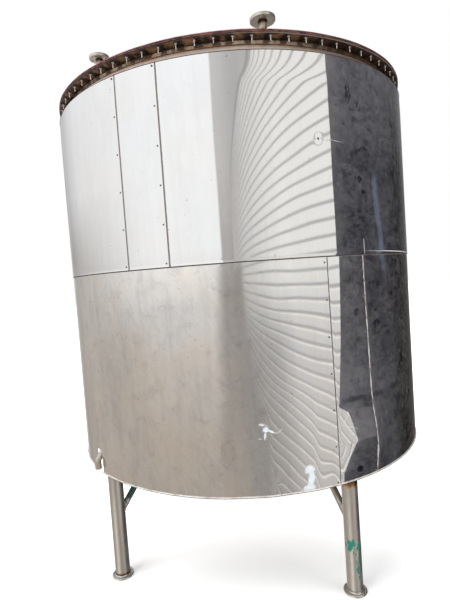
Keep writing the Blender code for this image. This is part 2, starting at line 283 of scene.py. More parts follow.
class Wiring:
    """Places shader nodes in one tree and joins them in short calls."""

    def __init__(self, tree: bpy.types.NodeTree) -> None:
        """Keeps the tree."""
        self.tree = tree

    def node(self, kind: str, settings: dict = None, **inputs: object) -> bpy.types.Node:
        """A node of a kind, with its settings and its inputs given by name or as in_0, in_1 by number."""
        made = self.tree.nodes.new(kind)
        for key, value in (settings or {}).items():
            setattr(made, key, value)
        for key, value in inputs.items():
            socket = made.inputs[int(key[3:])] if key.startswith("in_") else made.inputs[key.replace("_", " ")]
            self.feed(value, socket)
        return made

    def feed(self, value: object, socket: bpy.types.NodeSocket) -> None:
        """Links a socket, or sets a plain value."""
        if isinstance(value, bpy.types.NodeSocket):
            self.tree.links.new(value, socket)
        else:
            socket.default_value = value

    def surface(self, shader: bpy.types.Node, **values: object) -> None:
        """Feeds a shader's inputs by name."""
        for name, value in values.items():
            self.feed(value, shader.inputs[name.replace("_", " ")])

    def math(self, operation: str, *values: object, clamp: bool = False) -> bpy.types.NodeSocket:
        """One Math node's result."""
        inputs = {f"in_{i}": value for i, value in enumerate(values)}
        return self.node("ShaderNodeMath", {"operation": operation, "use_clamp": clamp}, **inputs).outputs[0]

    def vector(self, operation: str, *values: object) -> bpy.types.NodeSocket:
        """One Vector Math node's result."""
        inputs = {f"in_{i}": value for i, value in enumerate(values)}
        made = self.node("ShaderNodeVectorMath", {"operation": operation}, **inputs)
        return made.outputs["Value" if operation in ("LENGTH", "DISTANCE", "DOT_PRODUCT") else "Vector"]

    def ramp(self, value: object, low: float, high: float, to_low: float = 0.0, to_high: float = 1.0,
             smooth: bool = True) -> bpy.types.NodeSocket:
        """A Map Range from low..high to to_low..to_high."""
        kind = "SMOOTHSTEP" if smooth else "LINEAR"
        made = self.node("ShaderNodeMapRange", {"interpolation_type": kind}, in_0=value, in_1=low, in_2=high,
                         in_3=to_low, in_4=to_high)
        return made.outputs[0]

    def mix(self, share: object, first: object, second: object, blend: str = "MIX") -> bpy.types.NodeSocket:
        """A colour mix."""
        made = self.tree.nodes.new("ShaderNodeMix")
        made.data_type = "RGBA"
        made.blend_type = blend
        made.clamp_factor = True
        for value, socket in ((share, made.inputs[0]), (first, made.inputs[6]), (second, made.inputs[7])):
            self.feed(value, socket)
        return made.outputs[2]

    def blend(self, share: object, first: object, second: object) -> bpy.types.NodeSocket:
        """A plain mix of two values."""
        made = self.tree.nodes.new("ShaderNodeMix")
        for value, socket in ((share, made.inputs[0]), (first, made.inputs[2]), (second, made.inputs[3])):
            self.feed(value, socket)
        return made.outputs[0]

    def noise(self, vector: object, scale: float, detail: float = 3.0, roughness: float = 0.5,
              distortion: float = 0.0) -> bpy.types.NodeSocket:
        """A noise texture's value."""
        made = self.node("ShaderNodeTexNoise", None, Vector=vector, Scale=scale, Detail=detail,
                         Roughness=roughness, Distortion=distortion)
        return made.outputs[0]

    def stretched(self, vector: object, scale: tuple, turn: tuple = (0.0, 0.0, 0.0)) -> bpy.types.NodeSocket:
        """Coordinates scaled and turned, for grain and streaks."""
        return self.node("ShaderNodeMapping", None, Vector=vector, Scale=scale, Rotation=turn).outputs[0]

    def shades(self, value: object, stops: list) -> bpy.types.NodeSocket:
        """A colour ramp from (position, colour) stops."""
        made = self.node("ShaderNodeValToRGB", None, Fac=value)
        ramp = made.color_ramp
        for i, (position, colour) in enumerate(stops):
            stop = ramp.elements[i] if i < 2 else ramp.elements.new(position)
            stop.position = position
            stop.color = (*colour, 1.0)
        return made.outputs[0]


@dataclass(frozen=True)
class Socket:
    """A named socket of a shared effect."""

    name: str
    kind: str = "NodeSocketFloat"
    value: object = None


class SharedEffect:
    """A shader node group with named inputs and outputs, built once and placed in each material that uses it."""

    name = "effect"
    inputs: tuple = ()
    outputs: tuple = ()

    def group(self) -> bpy.types.NodeTree:
        """The group, built on first use."""
        found = bpy.data.node_groups.get(self.name)
        if found:
            return found
        tree = bpy.data.node_groups.new(self.name, "ShaderNodeTree")
        for way, sockets in (("INPUT", self.inputs), ("OUTPUT", self.outputs)):
            for socket in sockets:
                made = tree.interface.new_socket(name=socket.name, in_out=way, socket_type=socket.kind)
                if socket.value is not None:
                    made.default_value = socket.value
        wiring = Wiring(tree)
        source = tree.nodes.new("NodeGroupInput")
        sink = tree.nodes.new("NodeGroupOutput")
        results = self.build(wiring, {s.name: source.outputs[s.name] for s in self.inputs})
        for name, result in results.items():
            tree.links.new(result, sink.inputs[name])
        return tree

    def build(self, wiring: Wiring, given: dict) -> dict:
        """Wires the effect.

        Args:
            wiring: the group's nodes.
            given: the input sockets by name.

        Returns:
            The result sockets by output name.
        """
        raise NotImplementedError

    def place(self, wiring: Wiring, **values: object) -> dict:
        """Puts the group in a material and returns its outputs by name."""
        made = wiring.tree.nodes.new("ShaderNodeGroup")
        made.node_tree = self.group()
        for key, value in values.items():
            wiring.feed(value, made.inputs[key.replace("_", " ")])
        return {s.name: made.outputs[s.name] for s in self.outputs}


class Grain(SharedEffect):
    """Fine rolled or drawn grain: noise stretched along one axis, as a height and a share of wear."""

    name = "rolled_grain"
    inputs = (Socket("Vector", "NodeSocketVector"), Socket("Fineness", value=90.0))
    outputs = (Socket("Height"), Socket("Wear"))

    def build(self, wiring: Wiring, given: dict) -> dict:
        """Height is fine noise, and wear is the same noise at a coarser scale, contrasted."""
        fine = wiring.noise(given["Vector"], given["Fineness"], 3.0, 0.6)
        coarse_scale = wiring.math("MULTIPLY", given["Fineness"], 0.21)
        coarse = wiring.noise(given["Vector"], coarse_scale, 4.0, 0.62)
        return {"Height": fine, "Wear": wiring.ramp(coarse, 0.35, 0.70)}


class Smudges(SharedEffect):
    """Dirt on polished metal: a cloudy haze with a few scuffs, wiped stains, a shift of hue, and specks."""

    name = "wiped_dirt"
    inputs = (Socket("Vector", "NodeSocketVector"), Socket("Haze", value=0.12), Socket("Scuff", value=0.3))
    outputs = (Socket("Film"), Socket("Stain"), Socket("Hue"), Socket("Specks"))

    def build(self, wiring: Wiring, given: dict) -> dict:
        """Film is the haze times clouds and a fine mottle, plus the peaks of a noise stretched into short scratches;
        stain joins the clouds with a noise stretched along the wiping."""
        clouds = wiring.noise(given["Vector"], 6.0, 6.0, 0.62, 0.6)
        mottle = wiring.noise(given["Vector"], 36.0, 3.0, 0.6)
        spread = wiring.math("ADD", wiring.ramp(clouds, 0.34, 0.66, 0.05, 1.35), wiring.ramp(mottle, 0.32, 0.68, 0.0, 0.90))
        haze = wiring.math("MULTIPLY", given["Haze"], spread)
        scratched = wiring.noise(wiring.stretched(given["Vector"], (8.0, 60.0, 1.0), (0.0, 0.0, radians(-14.0))), 1.0)
        scuffs = wiring.math("MULTIPLY", wiring.ramp(scratched, 0.68, 0.84), wiring.ramp(clouds, 0.48, 0.62))
        film = wiring.math("ADD", haze, wiring.math("MULTIPLY", scuffs, given["Scuff"]), clamp=True)
        strokes = wiring.noise(wiring.stretched(given["Vector"], (17.0, 3.6, 1.0), (0.0, 0.0, radians(28.0))), 1.0,
                               5.0, 0.66, 0.3)
        stain = wiring.ramp(wiring.math("ADD", strokes, wiring.math("MULTIPLY", clouds, 0.8)), 0.76, 1.12)
        hue = wiring.ramp(wiring.noise(given["Vector"], 3.4, 4.0, 0.55), 0.36, 0.66)
        return {"Film": film, "Stain": stain, "Hue": hue,
                "Specks": wiring.ramp(wiring.noise(given["Vector"], 55.0, 2.0, 0.5), 0.72, 0.77)}


class Stains(SharedEffect):
    """Streaks that run down and blotches: three tones and a share of crust."""

    name = "brown_stains"
    inputs = (Socket("Vector", "NodeSocketVector"), Socket("Scale", value=9.0),
              Socket("Pale", "NodeSocketColor", (0.42, 0.34, 0.25, 1.0)),
              Socket("Middle", "NodeSocketColor", (0.20, 0.115, 0.06, 1.0)),
              Socket("Deep", "NodeSocketColor", (0.035, 0.016, 0.010, 1.0)))
    outputs = (Socket("Colour", "NodeSocketColor"), Socket("Crust"))

    def build(self, wiring: Wiring, given: dict) -> dict:
        """Two noises choose between pale, middle and deep; crust is where deep wins."""
        blotches = wiring.noise(given["Vector"], given["Scale"], 5.0, 0.62, 0.5)
        long_vector = wiring.stretched(given["Vector"], (1.0, 1.0, 0.22))
        fine_scale = wiring.math("MULTIPLY", given["Scale"], 3.1)
        streaks = wiring.noise(long_vector, fine_scale, 4.0, 0.6)
        first = wiring.mix(wiring.ramp(blotches, 0.36, 0.60), given["Pale"], given["Middle"])
        crust = wiring.ramp(wiring.math("ADD", blotches, wiring.math("MULTIPLY", streaks, 0.6)), 0.78, 0.96)
        return {"Colour": wiring.mix(crust, first, given["Deep"]), "Crust": crust}


class HeatTint(SharedEffect):
    """Weld colours as bands of straw, brown and blue-grey against the distance from the weld."""

    name = "weld_heat_tint"
    inputs = (Socket("Distance"), Socket("Reach", value=0.03), Socket("Vector", "NodeSocketVector"))
    outputs = (Socket("Colour", "NodeSocketColor"), Socket("Share"))

    def build(self, wiring: Wiring, given: dict) -> dict:
        """The distance over the reach, roughened by noise, picks the band and fades it out."""
        rough = wiring.noise(given["Vector"], 60.0, 3.0, 0.6)
        shifted = wiring.math("ADD", wiring.math("DIVIDE", given["Distance"], given["Reach"]),
                              wiring.math("MULTIPLY", wiring.math("SUBTRACT", rough, 0.5), 0.7))
        colour = wiring.shades(shifted, [(0.0, (0.05, 0.04, 0.045)), (1.0, (0.50, 0.42, 0.33)),
                                         (0.22, (0.10, 0.075, 0.09)), (0.45, (0.26, 0.13, 0.055)),
                                         (0.72, (0.50, 0.31, 0.12))])
        return {"Colour": colour, "Share": wiring.ramp(shifted, 1.1, 0.6)}


GRAIN = Grain()
SMUDGES = Smudges()
STAINS = Stains()
HEAT_TINT = HeatTint()


def new_material(name: str) -> tuple:
    """An empty Principled material.

    Returns:
        The material, its wiring and its shader node.
    """
    made = bpy.data.materials.new(name)
    made.use_nodes = True
    return made, Wiring(made.node_tree), made.node_tree.nodes["Principled BSDF"]


def dress(obj: bpy.types.Object, material: bpy.types.Material, slot: str, *stands_for: str) -> bpy.types.Object:
    """Gives a piece its finish and its body, and hides the CAD nodes that it stands for."""
    obj.data.materials.clear()
    obj.data.materials.append(material)
    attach(obj, BODY)
    if stands_for:
        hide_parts(*stands_for)
    log.info("%s: %d faces", obj.name, len(obj.data.polygons))
    return obj


@dataclass(frozen=True)
class Mark:
    """A spot on the cladding: where it is, its half width and half height in metres, how ragged and how soft its
    edge is, how far it is turned in degrees, and how strongly it shows."""

    azimuth: float
    level: float
    wide: float
    high: float
    ragged: float = 0.5
    soft: float = 0.08
    turn: float = 0.0
    share: float = 1.0

    @classmethod
    def line(cls, start: tuple, end: tuple, thick: float, ragged: float = 0.2, share: float = 1.0) -> "Mark":
        """A thin stroke from one (azimuth, level) to another."""
        across, along = radians(end[0] - start[0]), end[1] - start[1]
        return cls((start[0] + end[0]) / 2, (start[1] + end[1]) / 2, hypot(across, along) / 2, thick, ragged, 0.5,
                   degrees(np.arctan2(along, across)), share)

    def mask(self, wiring: Wiring, sheet: bpy.types.NodeSocket, rough: bpy.types.NodeSocket) -> object:
        """Its share inside an ellipse whose edge is shifted by noise, 0 outside."""
        place = wiring.node("ShaderNodeMapping", {"vector_type": "TEXTURE"}, Vector=sheet,
                            Location=(radians(self.azimuth), SEAM + self.level, 0.0),
                            Rotation=(0.0, 0.0, radians(self.turn)), Scale=(self.wide, self.high, 1.0))
        length = wiring.vector("LENGTH", place.outputs[0])
        shifted = wiring.math("MULTIPLY_ADD", rough, self.ragged, length)
        return wiring.ramp(shifted, 1.0 + self.soft, 1.0 - self.soft, 0.0, self.share)


def joined_mask(marks: list, wiring: Wiring, sheet: object, rough: object) -> object:
    """The strongest of several marks."""
    total = 0.0
    for mark in marks:
        total = wiring.math("MAXIMUM", total, mark.mask(wiring, sheet, rough))
    return total


@dataclass(frozen=True)
class CladdingFinish:
    """Polished stainless sheet: near mirror, with upright grain, wiped dirt, marks, and dirt along its seams; some
    marks are painted highlight and painted shade, and so is part of the dark band under the upper tier's edge.
    """

    name: str
    tier: Tier
    colour: tuple = (0.800, 0.790, 0.775)
    film_colour: tuple = (0.34, 0.335, 0.345)
    seam_colour: tuple = (0.062, 0.044, 0.034)
    seam_wide: float = 0.0052
    roughness: float = 0.030
    haze: float = 0.027
    scuff: float = 0.30
    stain: float = 0.12
    grain_bump: float = 0.000004
    leans: bool = False

    def build(self) -> bpy.types.Material:
        """Wires the material on the sheet's own UV maps: "sheet" is azimuth in radians and height, and "edges" is
        the metres from the seam on its left and from its own right edge."""
        material, wiring, shader = new_material(self.name)
        sheet = wiring.node("ShaderNodeUVMap", {"uv_map": "sheet"}).outputs[0]
        edges = wiring.node("ShaderNodeSeparateXYZ", None,
                            Vector=wiring.node("ShaderNodeUVMap", {"uv_map": "edges"}).outputs[0])
        across, height, _ = wiring.node("ShaderNodeSeparateXYZ", None, Vector=sheet).outputs
        grain = GRAIN.place(wiring, Vector=wiring.stretched(sheet, (1.0, 0.03, 1.0)), Fineness=160.0)
        smudges = SMUDGES.place(wiring, Vector=sheet, Haze=self.haze, Scuff=self.scuff)
        colour = wiring.mix(wiring.math("MULTIPLY", grain["Wear"], 0.12), (*self.colour, 1.0), (0.62, 0.60, 0.58, 1.0))
        ragged = wiring.math("SUBTRACT", wiring.noise(sheet, 38.0, 4.0, 0.62), 0.5)
        torn = wiring.noise(wiring.stretched(sheet, (95.0, 38.0, 1.0), (0.0, 0.0, radians(-32.0))), 1.0, 4.0, 0.65)
        wipes = wiring.math("MULTIPLY", joined_mask(self.wipes(), wiring, sheet, ragged), wiring.ramp(torn, 0.40, 0.56))
        film = wiring.math("MULTIPLY", smudges["Film"], wiring.math("SUBTRACT", 1.0, wipes))
        patches = wiring.noise(wiring.stretched(sheet, (22.0, 30.0, 1.0), (0.0, 0.0, radians(24.0))), 1.0, 7.0, 0.75, 0.6)
        greyed = wiring.math("MULTIPLY", wiring.ramp(across, radians(25.6), radians(27.5)),
                             wiring.ramp(patches, 0.42, 0.70, 0.0, 0.050))
        film = wiring.math("ADD", film, wiring.math("MULTIPLY", greyed, wiring.math("SUBTRACT", 1.0, wipes)))
        rubbed = wiring.math("MULTIPLY", wiring.ramp(across, radians(25.6), radians(27.5)),
                             wiring.ramp(patches, 0.48, 0.34, 0.0, 0.35))
        colour = wiring.mix(rubbed, colour, (0.26, 0.26, 0.28, 1.0))
        colour = wiring.mix(film, colour, (*self.film_colour, 1.0))
        colour = wiring.mix(wiring.math("MULTIPLY", wipes, 0.60), colour, (0.20, 0.20, 0.22, 1.0))
        wiped = wiring.math("MULTIPLY", wiring.ramp(across, radians(9.0), radians(-14.0), 0.25, 1.0), self.stain)
        colour = wiring.mix(wiring.math("MULTIPLY", smudges["Stain"], wiped), colour, (0.50, 0.485, 0.475, 1.0))
        colour = wiring.mix(wiring.math("MULTIPLY", smudges["Hue"], wiped), colour, (0.86, 0.76, 0.66, 1.0))
        colour = wiring.mix(wiring.math("MULTIPLY", smudges["Specks"], 0.5), colour, (0.20, 0.17, 0.145, 1.0))
        if self.tier is Tier.LOWER:
            dark, pale = self.grime(wiring, sheet, across)
            colour = wiring.mix(pale, wiring.mix(dark, colour, (0.40, 0.36, 0.34, 1.0)), (0.93, 0.91, 0.89, 1.0))
        metal = wiring.ramp(film, 0.0, 1.0, 1.0, 0.2, smooth=False)
        rough = wiring.math("ADD", wiring.math("MULTIPLY", film, 0.05),
                            wiring.ramp(grain["Wear"], 0.0, 1.0, self.roughness, self.roughness + 0.012, smooth=False))
        layers = [(self.seam_dirt_and_shade(wiring, edges, height, ragged), self.seam_colour, 0.6, 0.1)]
        for marks, paint, shine, metallic in self.marks():
            layers.append((joined_mask(marks, wiring, sheet, ragged), paint, shine, metallic))
        for mask, paint, shine, metallic in layers:
            colour = wiring.mix(mask, colour, (*paint, 1.0))
            rough = wiring.blend(mask, rough, shine)
            metal = wiring.blend(mask, metal, metallic)
        lie = wiring.math("MULTIPLY", grain["Height"], self.grain_bump)
        if self.leans:
            lie = wiring.math("ADD", lie, self.lean(wiring, sheet))
        bump = wiring.node("ShaderNodeBump", None, Strength=1.0, Distance=1.0, Height=lie)
        wiring.surface(shader, Base_Color=colour, Metallic=metal, Roughness=rough, Normal=bump.outputs[0])
        return material

    def grime(self, wiring: Wiring, sheet: object, across: object) -> tuple:
        """How dark and how pale the left of the lower tier is, where it is scoured aslant and blotched."""
        slanted = wiring.node("ShaderNodeMapping", {"vector_type": "TEXTURE"}, Vector=sheet,
                              Rotation=(0.0, 0.0, radians(35.0)), Scale=(0.018, 0.100, 1.0)).outputs[0]
        scours = wiring.noise(slanted, 1.0, 6.0, 0.72, 0.3)
        blotches = wiring.noise(sheet, 13.0, 7.0, 0.74, 0.5)
        side = wiring.ramp(across, radians(10.0), radians(3.0))
        dark = wiring.math("MAXIMUM", wiring.ramp(scours, 0.54, 0.72, 0.0, 0.26),
                           wiring.ramp(blotches, 0.51, 0.70, 0.0, 0.34))
        return (wiring.math("MULTIPLY", side, dark),
                wiring.math("MULTIPLY", side, wiring.ramp(scours, 0.45, 0.30, 0.0, 0.35)))

    def seam_dirt_and_shade(self, wiring: Wiring, edges: bpy.types.Node, height: object, ragged: object) -> object:
        """Dirt in the corner beside the sheet on the left and, on the lower tier, a dark band under the upper one's
        edge:
        dirt and painted shade.
        """
        torn = wiring.math("MULTIPLY", ragged, 0.004)
        beside = wiring.ramp(wiring.math("ADD", edges.outputs[0], torn), self.seam_wide + 0.001, self.seam_wide - 0.001)
        if self.tier is Tier.UPPER:
            return beside
        # a dark band just under the upper tier's edge: dirt and painted shade
        below = wiring.math("ADD", wiring.math("SUBTRACT", SEAM, height), wiring.math("MULTIPLY", ragged, 0.002))
        return wiring.math("MAXIMUM", beside, wiring.ramp(below, 0.0062, 0.0044))

    def lean(self, wiring: Wiring, sheet: object) -> object:
        """The knocked strip's twist: at each height the sheet leans to one side, as a height field whose slope
        across is the lean, so that a wall's edge mirrored in it wanders."""
        split = wiring.node("ShaderNodeSeparateXYZ", None, Vector=sheet)
        level = wiring.math("SUBTRACT", split.outputs[1], SEAM)
        made = wiring.tree.nodes.new("ShaderNodeFloatCurve")
        wiring.feed(wiring.ramp(level, -1.0, 0.0, smooth=False), made.inputs["Value"])
        curve = made.mapping.curves[0]
        stops = ((0.0, -3.4), (0.045, -2.7), (0.11, 1.0), (0.165, 4.8), (0.24, 3.0), (0.31, 1.0), (0.35, -2.4),
                 (0.45, -1.7), (0.65, -0.4), (0.77, 0.3), (0.99, 0.9))
        for i, (share, lean) in enumerate(stops):
            value = 0.5 + lean / 12.0
            point = curve.points[i] if i < 2 else curve.points.new(share, value)
            point.location = (share, value)
            point.handle_type = "VECTOR"
        made.mapping.update()
        slope = wiring.math("MULTIPLY", wiring.math("SUBTRACT", made.outputs[0], 0.5), radians(12.0))
        across = wiring.math("SUBTRACT", split.outputs[0], radians(27.0))
        return wiring.math("MULTIPLY", slope, across)

    def wipes(self) -> list:
        """Where the haze is wiped away or smeared dark, on the side that mirrors the dark shed."""
        line = Mark.line
        if self.tier is Tier.UPPER:
            return [Mark(31.6, 0.706, 0.017, 0.040, 1.4, 0.3), line((35.9, 0.704), (34.6, 0.645), 0.0035, 0.8),
                    line((31.8, 0.633), (34.0, 0.633), 0.0025), line((35.5, 0.632), (36.5, 0.645), 0.0030),
                    line((34.5, 0.454), (36.3, 0.478), 0.0035, 0.4), line((36.3, 0.478), (38.2, 0.460), 0.0035, 0.4),
                    line((38.2, 0.460), (38.9, 0.433), 0.0030, 0.4), Mark(34.5, 0.332, 0.012, 0.017, 1.4, 0.4),
                    Mark(35.8, 0.277, 0.016, 0.009, 1.2, 0.4), Mark(29.6, 0.575, 0.008, 0.016, 1.4, 0.4, 20.0, 0.6),
                    line((40.2, 0.560), (41.6, 0.520), 0.0030, 0.8, 0.7)]
        return [Mark(51.1, -0.100, 0.016, 0.010, 1.3, 0.4), Mark(46.3, -0.194, 0.018, 0.012, 1.3, 0.4),
                Mark(49.1, -0.173, 0.012, 0.012, 1.3, 0.4), Mark(30.7, -0.258, 0.013, 0.016, 1.5, 0.4),
                Mark(38.3, -0.319, 0.026, 0.018, 1.4, 0.4), Mark(53.5, -0.325, 0.018, 0.012, 1.3, 0.4),
                Mark(43.4, -0.377, 0.016, 0.010, 1.3, 0.4), Mark(38.2, -0.258, 0.010, 0.008, 1.0, 0.4),
                Mark(29.0, -0.104, 0.009, 0.014, 1.0, 0.5, 0.0, 0.5), line((33.6, -0.570), (34.9, -0.556), 0.0022),
                line((31.8, -0.566), (32.8, -0.560), 0.0022), line((25.9, -0.506), (26.9, -0.500), 0.0022)]

    def marks(self) -> list:
        """The marks of this tier, with each kind's colour, roughness and metal."""
        line = Mark.line
        if self.tier is Tier.UPPER:
            scratches = [line((25.1, 0.493), (29.3, 0.484), 0.0010, 0.3, 0.6), Mark(24.4, 0.4885, 0.012, 0.003, 1.2, 0.6),
                         Mark(-11.4, 0.23, 0.0008, 0.21, 0.2, 0.5), Mark(34.8, 0.035, 0.0020, 0.036, 0.3),
                         line((28.6, 0.391), (31.6, 0.392), 0.0009, 0.3, 0.3), line((30.9, 0.372), (32.9, 0.371), 0.0008,
                                                                                   0.3, 0.3),
                         line((26.5, 0.313), (28.0, 0.296), 0.0009, 0.3, 0.35)]
            return [([Mark(22.0, 0.494, 0.0055, 0.0065, 0.9)], (0.10, 0.07, 0.05), 0.6, 0.0),
                    (scratches, (0.66, 0.65, 0.63), 0.5, 0.6),
                    # a pale line along the upper tier's lip on the dark right side: painted highlight
                    ([line((38.9, 0.0125), (69.0, 0.003), 0.0024, 0.1, 0.8)], (0.75, 0.73, 0.71), 0.4, 0.3)]
        residue = [Mark(3.95, -0.712, 0.011, 0.014, 2.6, 0.5, 0.0, 0.8), Mark(3.1, -0.693, 0.012, 0.0050, 1.6, 0.6,
                                                                             -12.0, 0.55),
                   line((4.5, -0.716), (6.0, -0.731), 0.0042, 0.8, 0.9), line((3.9, -0.722), (3.6, -0.755), 0.0045,
                                                                             0.8, 0.7),
                   line((6.0, -0.731), (6.9, -0.733), 0.0011, 0.3, 0.6), line((6.9, -0.733), (8.1, -0.717), 0.0011,
                                                                             0.3, 0.6),
                   line((2.0, -0.752), (2.8, -0.753), 0.0013, 0.4, 0.6),
                   Mark(14.5, -0.912, 0.021, 0.016, 2.0, 0.4, 0.0, 0.85), Mark(14.7, -0.950, 0.013, 0.040, 1.4, 0.4,
                                                                              -10.0, 0.85),
                   Mark(14.2, -0.989, 0.024, 0.013, 2.0, 0.4, 0.0, 0.85)]
        rust = [Mark(44.0, -0.966, 0.009, 0.008, 1.2)]
        spot = [Mark(29.1, -0.960, 0.018, 0.014, 0.5, 0.4, 0.0, 0.85)]
        # crease: a darker mirror band where the sheet's shape has no fold: painted shade of a crease
        crease = [Mark(28.6, -0.640, 0.085, 0.0110, 1.6, 0.8, 0.0, 0.62), Mark(36.6, -0.644, 0.060, 0.0120, 1.8, 0.9, -3.0, 0.5),
                  Mark(45.6, -0.634, 0.050, 0.0140, 1.8, 0.9, 0.0, 0.35)]
        ell = [line((24.5, -0.747), (26.0, -0.701), 0.0011, 0.2, 0.7), line((24.5, -0.747), (28.8, -0.774), 0.0011,
                                                                           0.2, 0.7)]
        return [(crease, (0.16, 0.16, 0.19), 0.2, 1.0), (residue, (0.56, 0.625, 0.67), 0.55, 0.0),
                (rust, (0.07, 0.045, 0.038), 0.55, 0.3), (spot, (0.11, 0.11, 0.125), 0.15, 1.0),
                (ell, (0.75, 0.72, 0.68), 0.4, 0.3)]


@dataclass(frozen=True)
class Band:
    """A thin ring of another colour on a turned piece, by height, or by distance from the axis, all round or on one
    side: 1 is the right, -1 the left, and azimuths, where given, hold it between two of them."""

    low: float
    high: float
    colour: tuple
    by_radius: bool = False
    side: float = 0.0
    ragged: float = 0.0
    azimuths: tuple = ()

    def mask(self, wiring: Wiring, where: dict) -> object:
        """1 between low and high, whose edges are shifted by noise."""
        value = wiring.math("ADD", where["Radius"] if self.by_radius else where["Height"],
                            wiring.math("MULTIPLY", where["Torn"], self.ragged))
        soft = 0.0006
        inside = wiring.math("MULTIPLY", wiring.ramp(value, self.low - soft, self.low + soft),
                             wiring.ramp(value, self.high + soft, self.high - soft))
        if self.side:
            inside = wiring.math("MULTIPLY", inside, wiring.ramp(where["Azimuth"], -8.0 * self.side, 16.0 * self.side))
        if self.azimuths:
            start, end = self.azimuths
            inside = wiring.math("MULTIPLY", inside, wiring.ramp(where["Azimuth"], start - 1.5, start + 1.5))
            inside = wiring.math("MULTIPLY", inside, wiring.ramp(where["Azimuth"], end + 1.5, end - 1.5))
        return inside


class RimPlace(SharedEffect):
    """Where a point lies on the rim: azimuth, distance from the axis, height, and the painted shadow beside each bolt.
    """

    name = "rim_place"
    inputs = (Socket("Vector", "NodeSocketVector"),)
    outputs = (Socket("Azimuth"), Socket("Radius"), Socket("Height"), Socket("Torn"), Socket("Run"))

    def build(self, wiring: Wiring, given: dict) -> dict:
        """The run is a painted shadow from each bolt towards the front of the tank, running on down like a drip stain:
        a share of the bolts' pitch, torn by noise.
        """
        split = wiring.node("ShaderNodeSeparateXYZ", None, Vector=given["Vector"]).outputs
        azimuth = wiring.math("DEGREES", wiring.math("ARCTAN2", split[0], wiring.math("MULTIPLY", split[1], -1.0)))
        flat = wiring.vector("MULTIPLY", given["Vector"], (1.0, 1.0, 0.0))
        torn = wiring.math("SUBTRACT", wiring.noise(given["Vector"], 70.0, 4.0, 0.65), 0.5)
        pitches = wiring.math("DIVIDE", wiring.math("SUBTRACT", azimuth, Rim.first_bolt), 360.0 / Rim.bolts)
        beside = wiring.math("SUBTRACT", wiring.math("FRACT", wiring.math("ADD", pitches, 0.5)), 0.5)
        inward = wiring.math("MULTIPLY", beside, wiring.math("SIGN", azimuth))
        shifted = wiring.math("ADD", inward, wiring.math("MULTIPLY", torn, 0.55))
        run = wiring.math("MULTIPLY", wiring.ramp(shifted, -0.40, -0.30), wiring.ramp(shifted, 0.10, 0.02))
        return {"Azimuth": azimuth, "Radius": wiring.vector("LENGTH", flat), "Height": split[2], "Torn": torn,
                "Run": run}


RIM_PLACE = RimPlace()


@dataclass(frozen=True)
class StainedAndShadedFinish:
    """Stained stainless: brown and beige blotches over dull metal, with painted shade that darkens the right and left
    sides, a painted shadow beside each bolt that runs on down like a drip stain, and thin rings of other colours where
    they are given."""

    name: str
    pale: tuple
    middle: tuple
    deep: tuple
    scale: float = 9.0
    metal: float = 0.7
    roughness: float = 0.42
    # runs: strength of the painted shadow beside each bolt; right and left: tints that paint shade on the tank's sides
    runs: float = 0.0
    right: tuple = ()
    left: tuple = ()
    bands: tuple = ()

    def build(self) -> bpy.types.Material:
        """Wires the stains, the painted side shade and the painted bolt shadows to colour, roughness and metal."""
        material, wiring, shader = new_material(self.name)
        place = wiring.node("ShaderNodeTexCoord").outputs["Object"]
        stains = STAINS.place(wiring, Vector=place, Scale=self.scale, Pale=(*self.pale, 1.0),
                              Middle=(*self.middle, 1.0), Deep=(*self.deep, 1.0))
        grain = GRAIN.place(wiring, Vector=place, Fineness=130.0)
        colour = wiring.mix(wiring.math("MULTIPLY", grain["Wear"], 0.2), stains["Colour"], (*self.pale, 1.0))
        metal = wiring.ramp(stains["Crust"], 0.0, 1.0, self.metal, self.metal * 0.3, smooth=False)
        rough = wiring.ramp(stains["Crust"], 0.0, 1.0, self.roughness, min(0.9, self.roughness + 0.3), smooth=False)
        if self.runs or self.right or self.bands:
            where = RIM_PLACE.place(wiring, Vector=place)
            # right and left tints: painted shade, darker towards the tank's sides
            for tint, near, far in ((self.right, 4.0, 34.0), (self.left, -30.0, -56.0)):
                if tint:
                    tone = wiring.mix(wiring.ramp(where["Azimuth"], near, far), (1.0, 1.0, 1.0, 1.0), (*tint, 1.0))
                    colour = wiring.mix(1.0, colour, tone, "MULTIPLY")
            # painted shadow beside each bolt, running on down the piece like a drip stain
            layers = [(wiring.math("MULTIPLY", where["Run"], self.runs), self.deep)]
            layers += [(band.mask(wiring, where), band.colour) for band in self.bands]
            for mask, paint in layers:
                colour = wiring.mix(mask, colour, (*paint, 1.0))
                metal = wiring.math("MULTIPLY", metal, wiring.math("SUBTRACT", 1.0, mask))
        bump = wiring.node("ShaderNodeBump", None, Strength=0.25, Distance=0.0006, Height=grain["Height"])
        wiring.surface(shader, Base_Color=colour, Metallic=metal, Roughness=rough, Normal=bump.outputs[0])
        return material


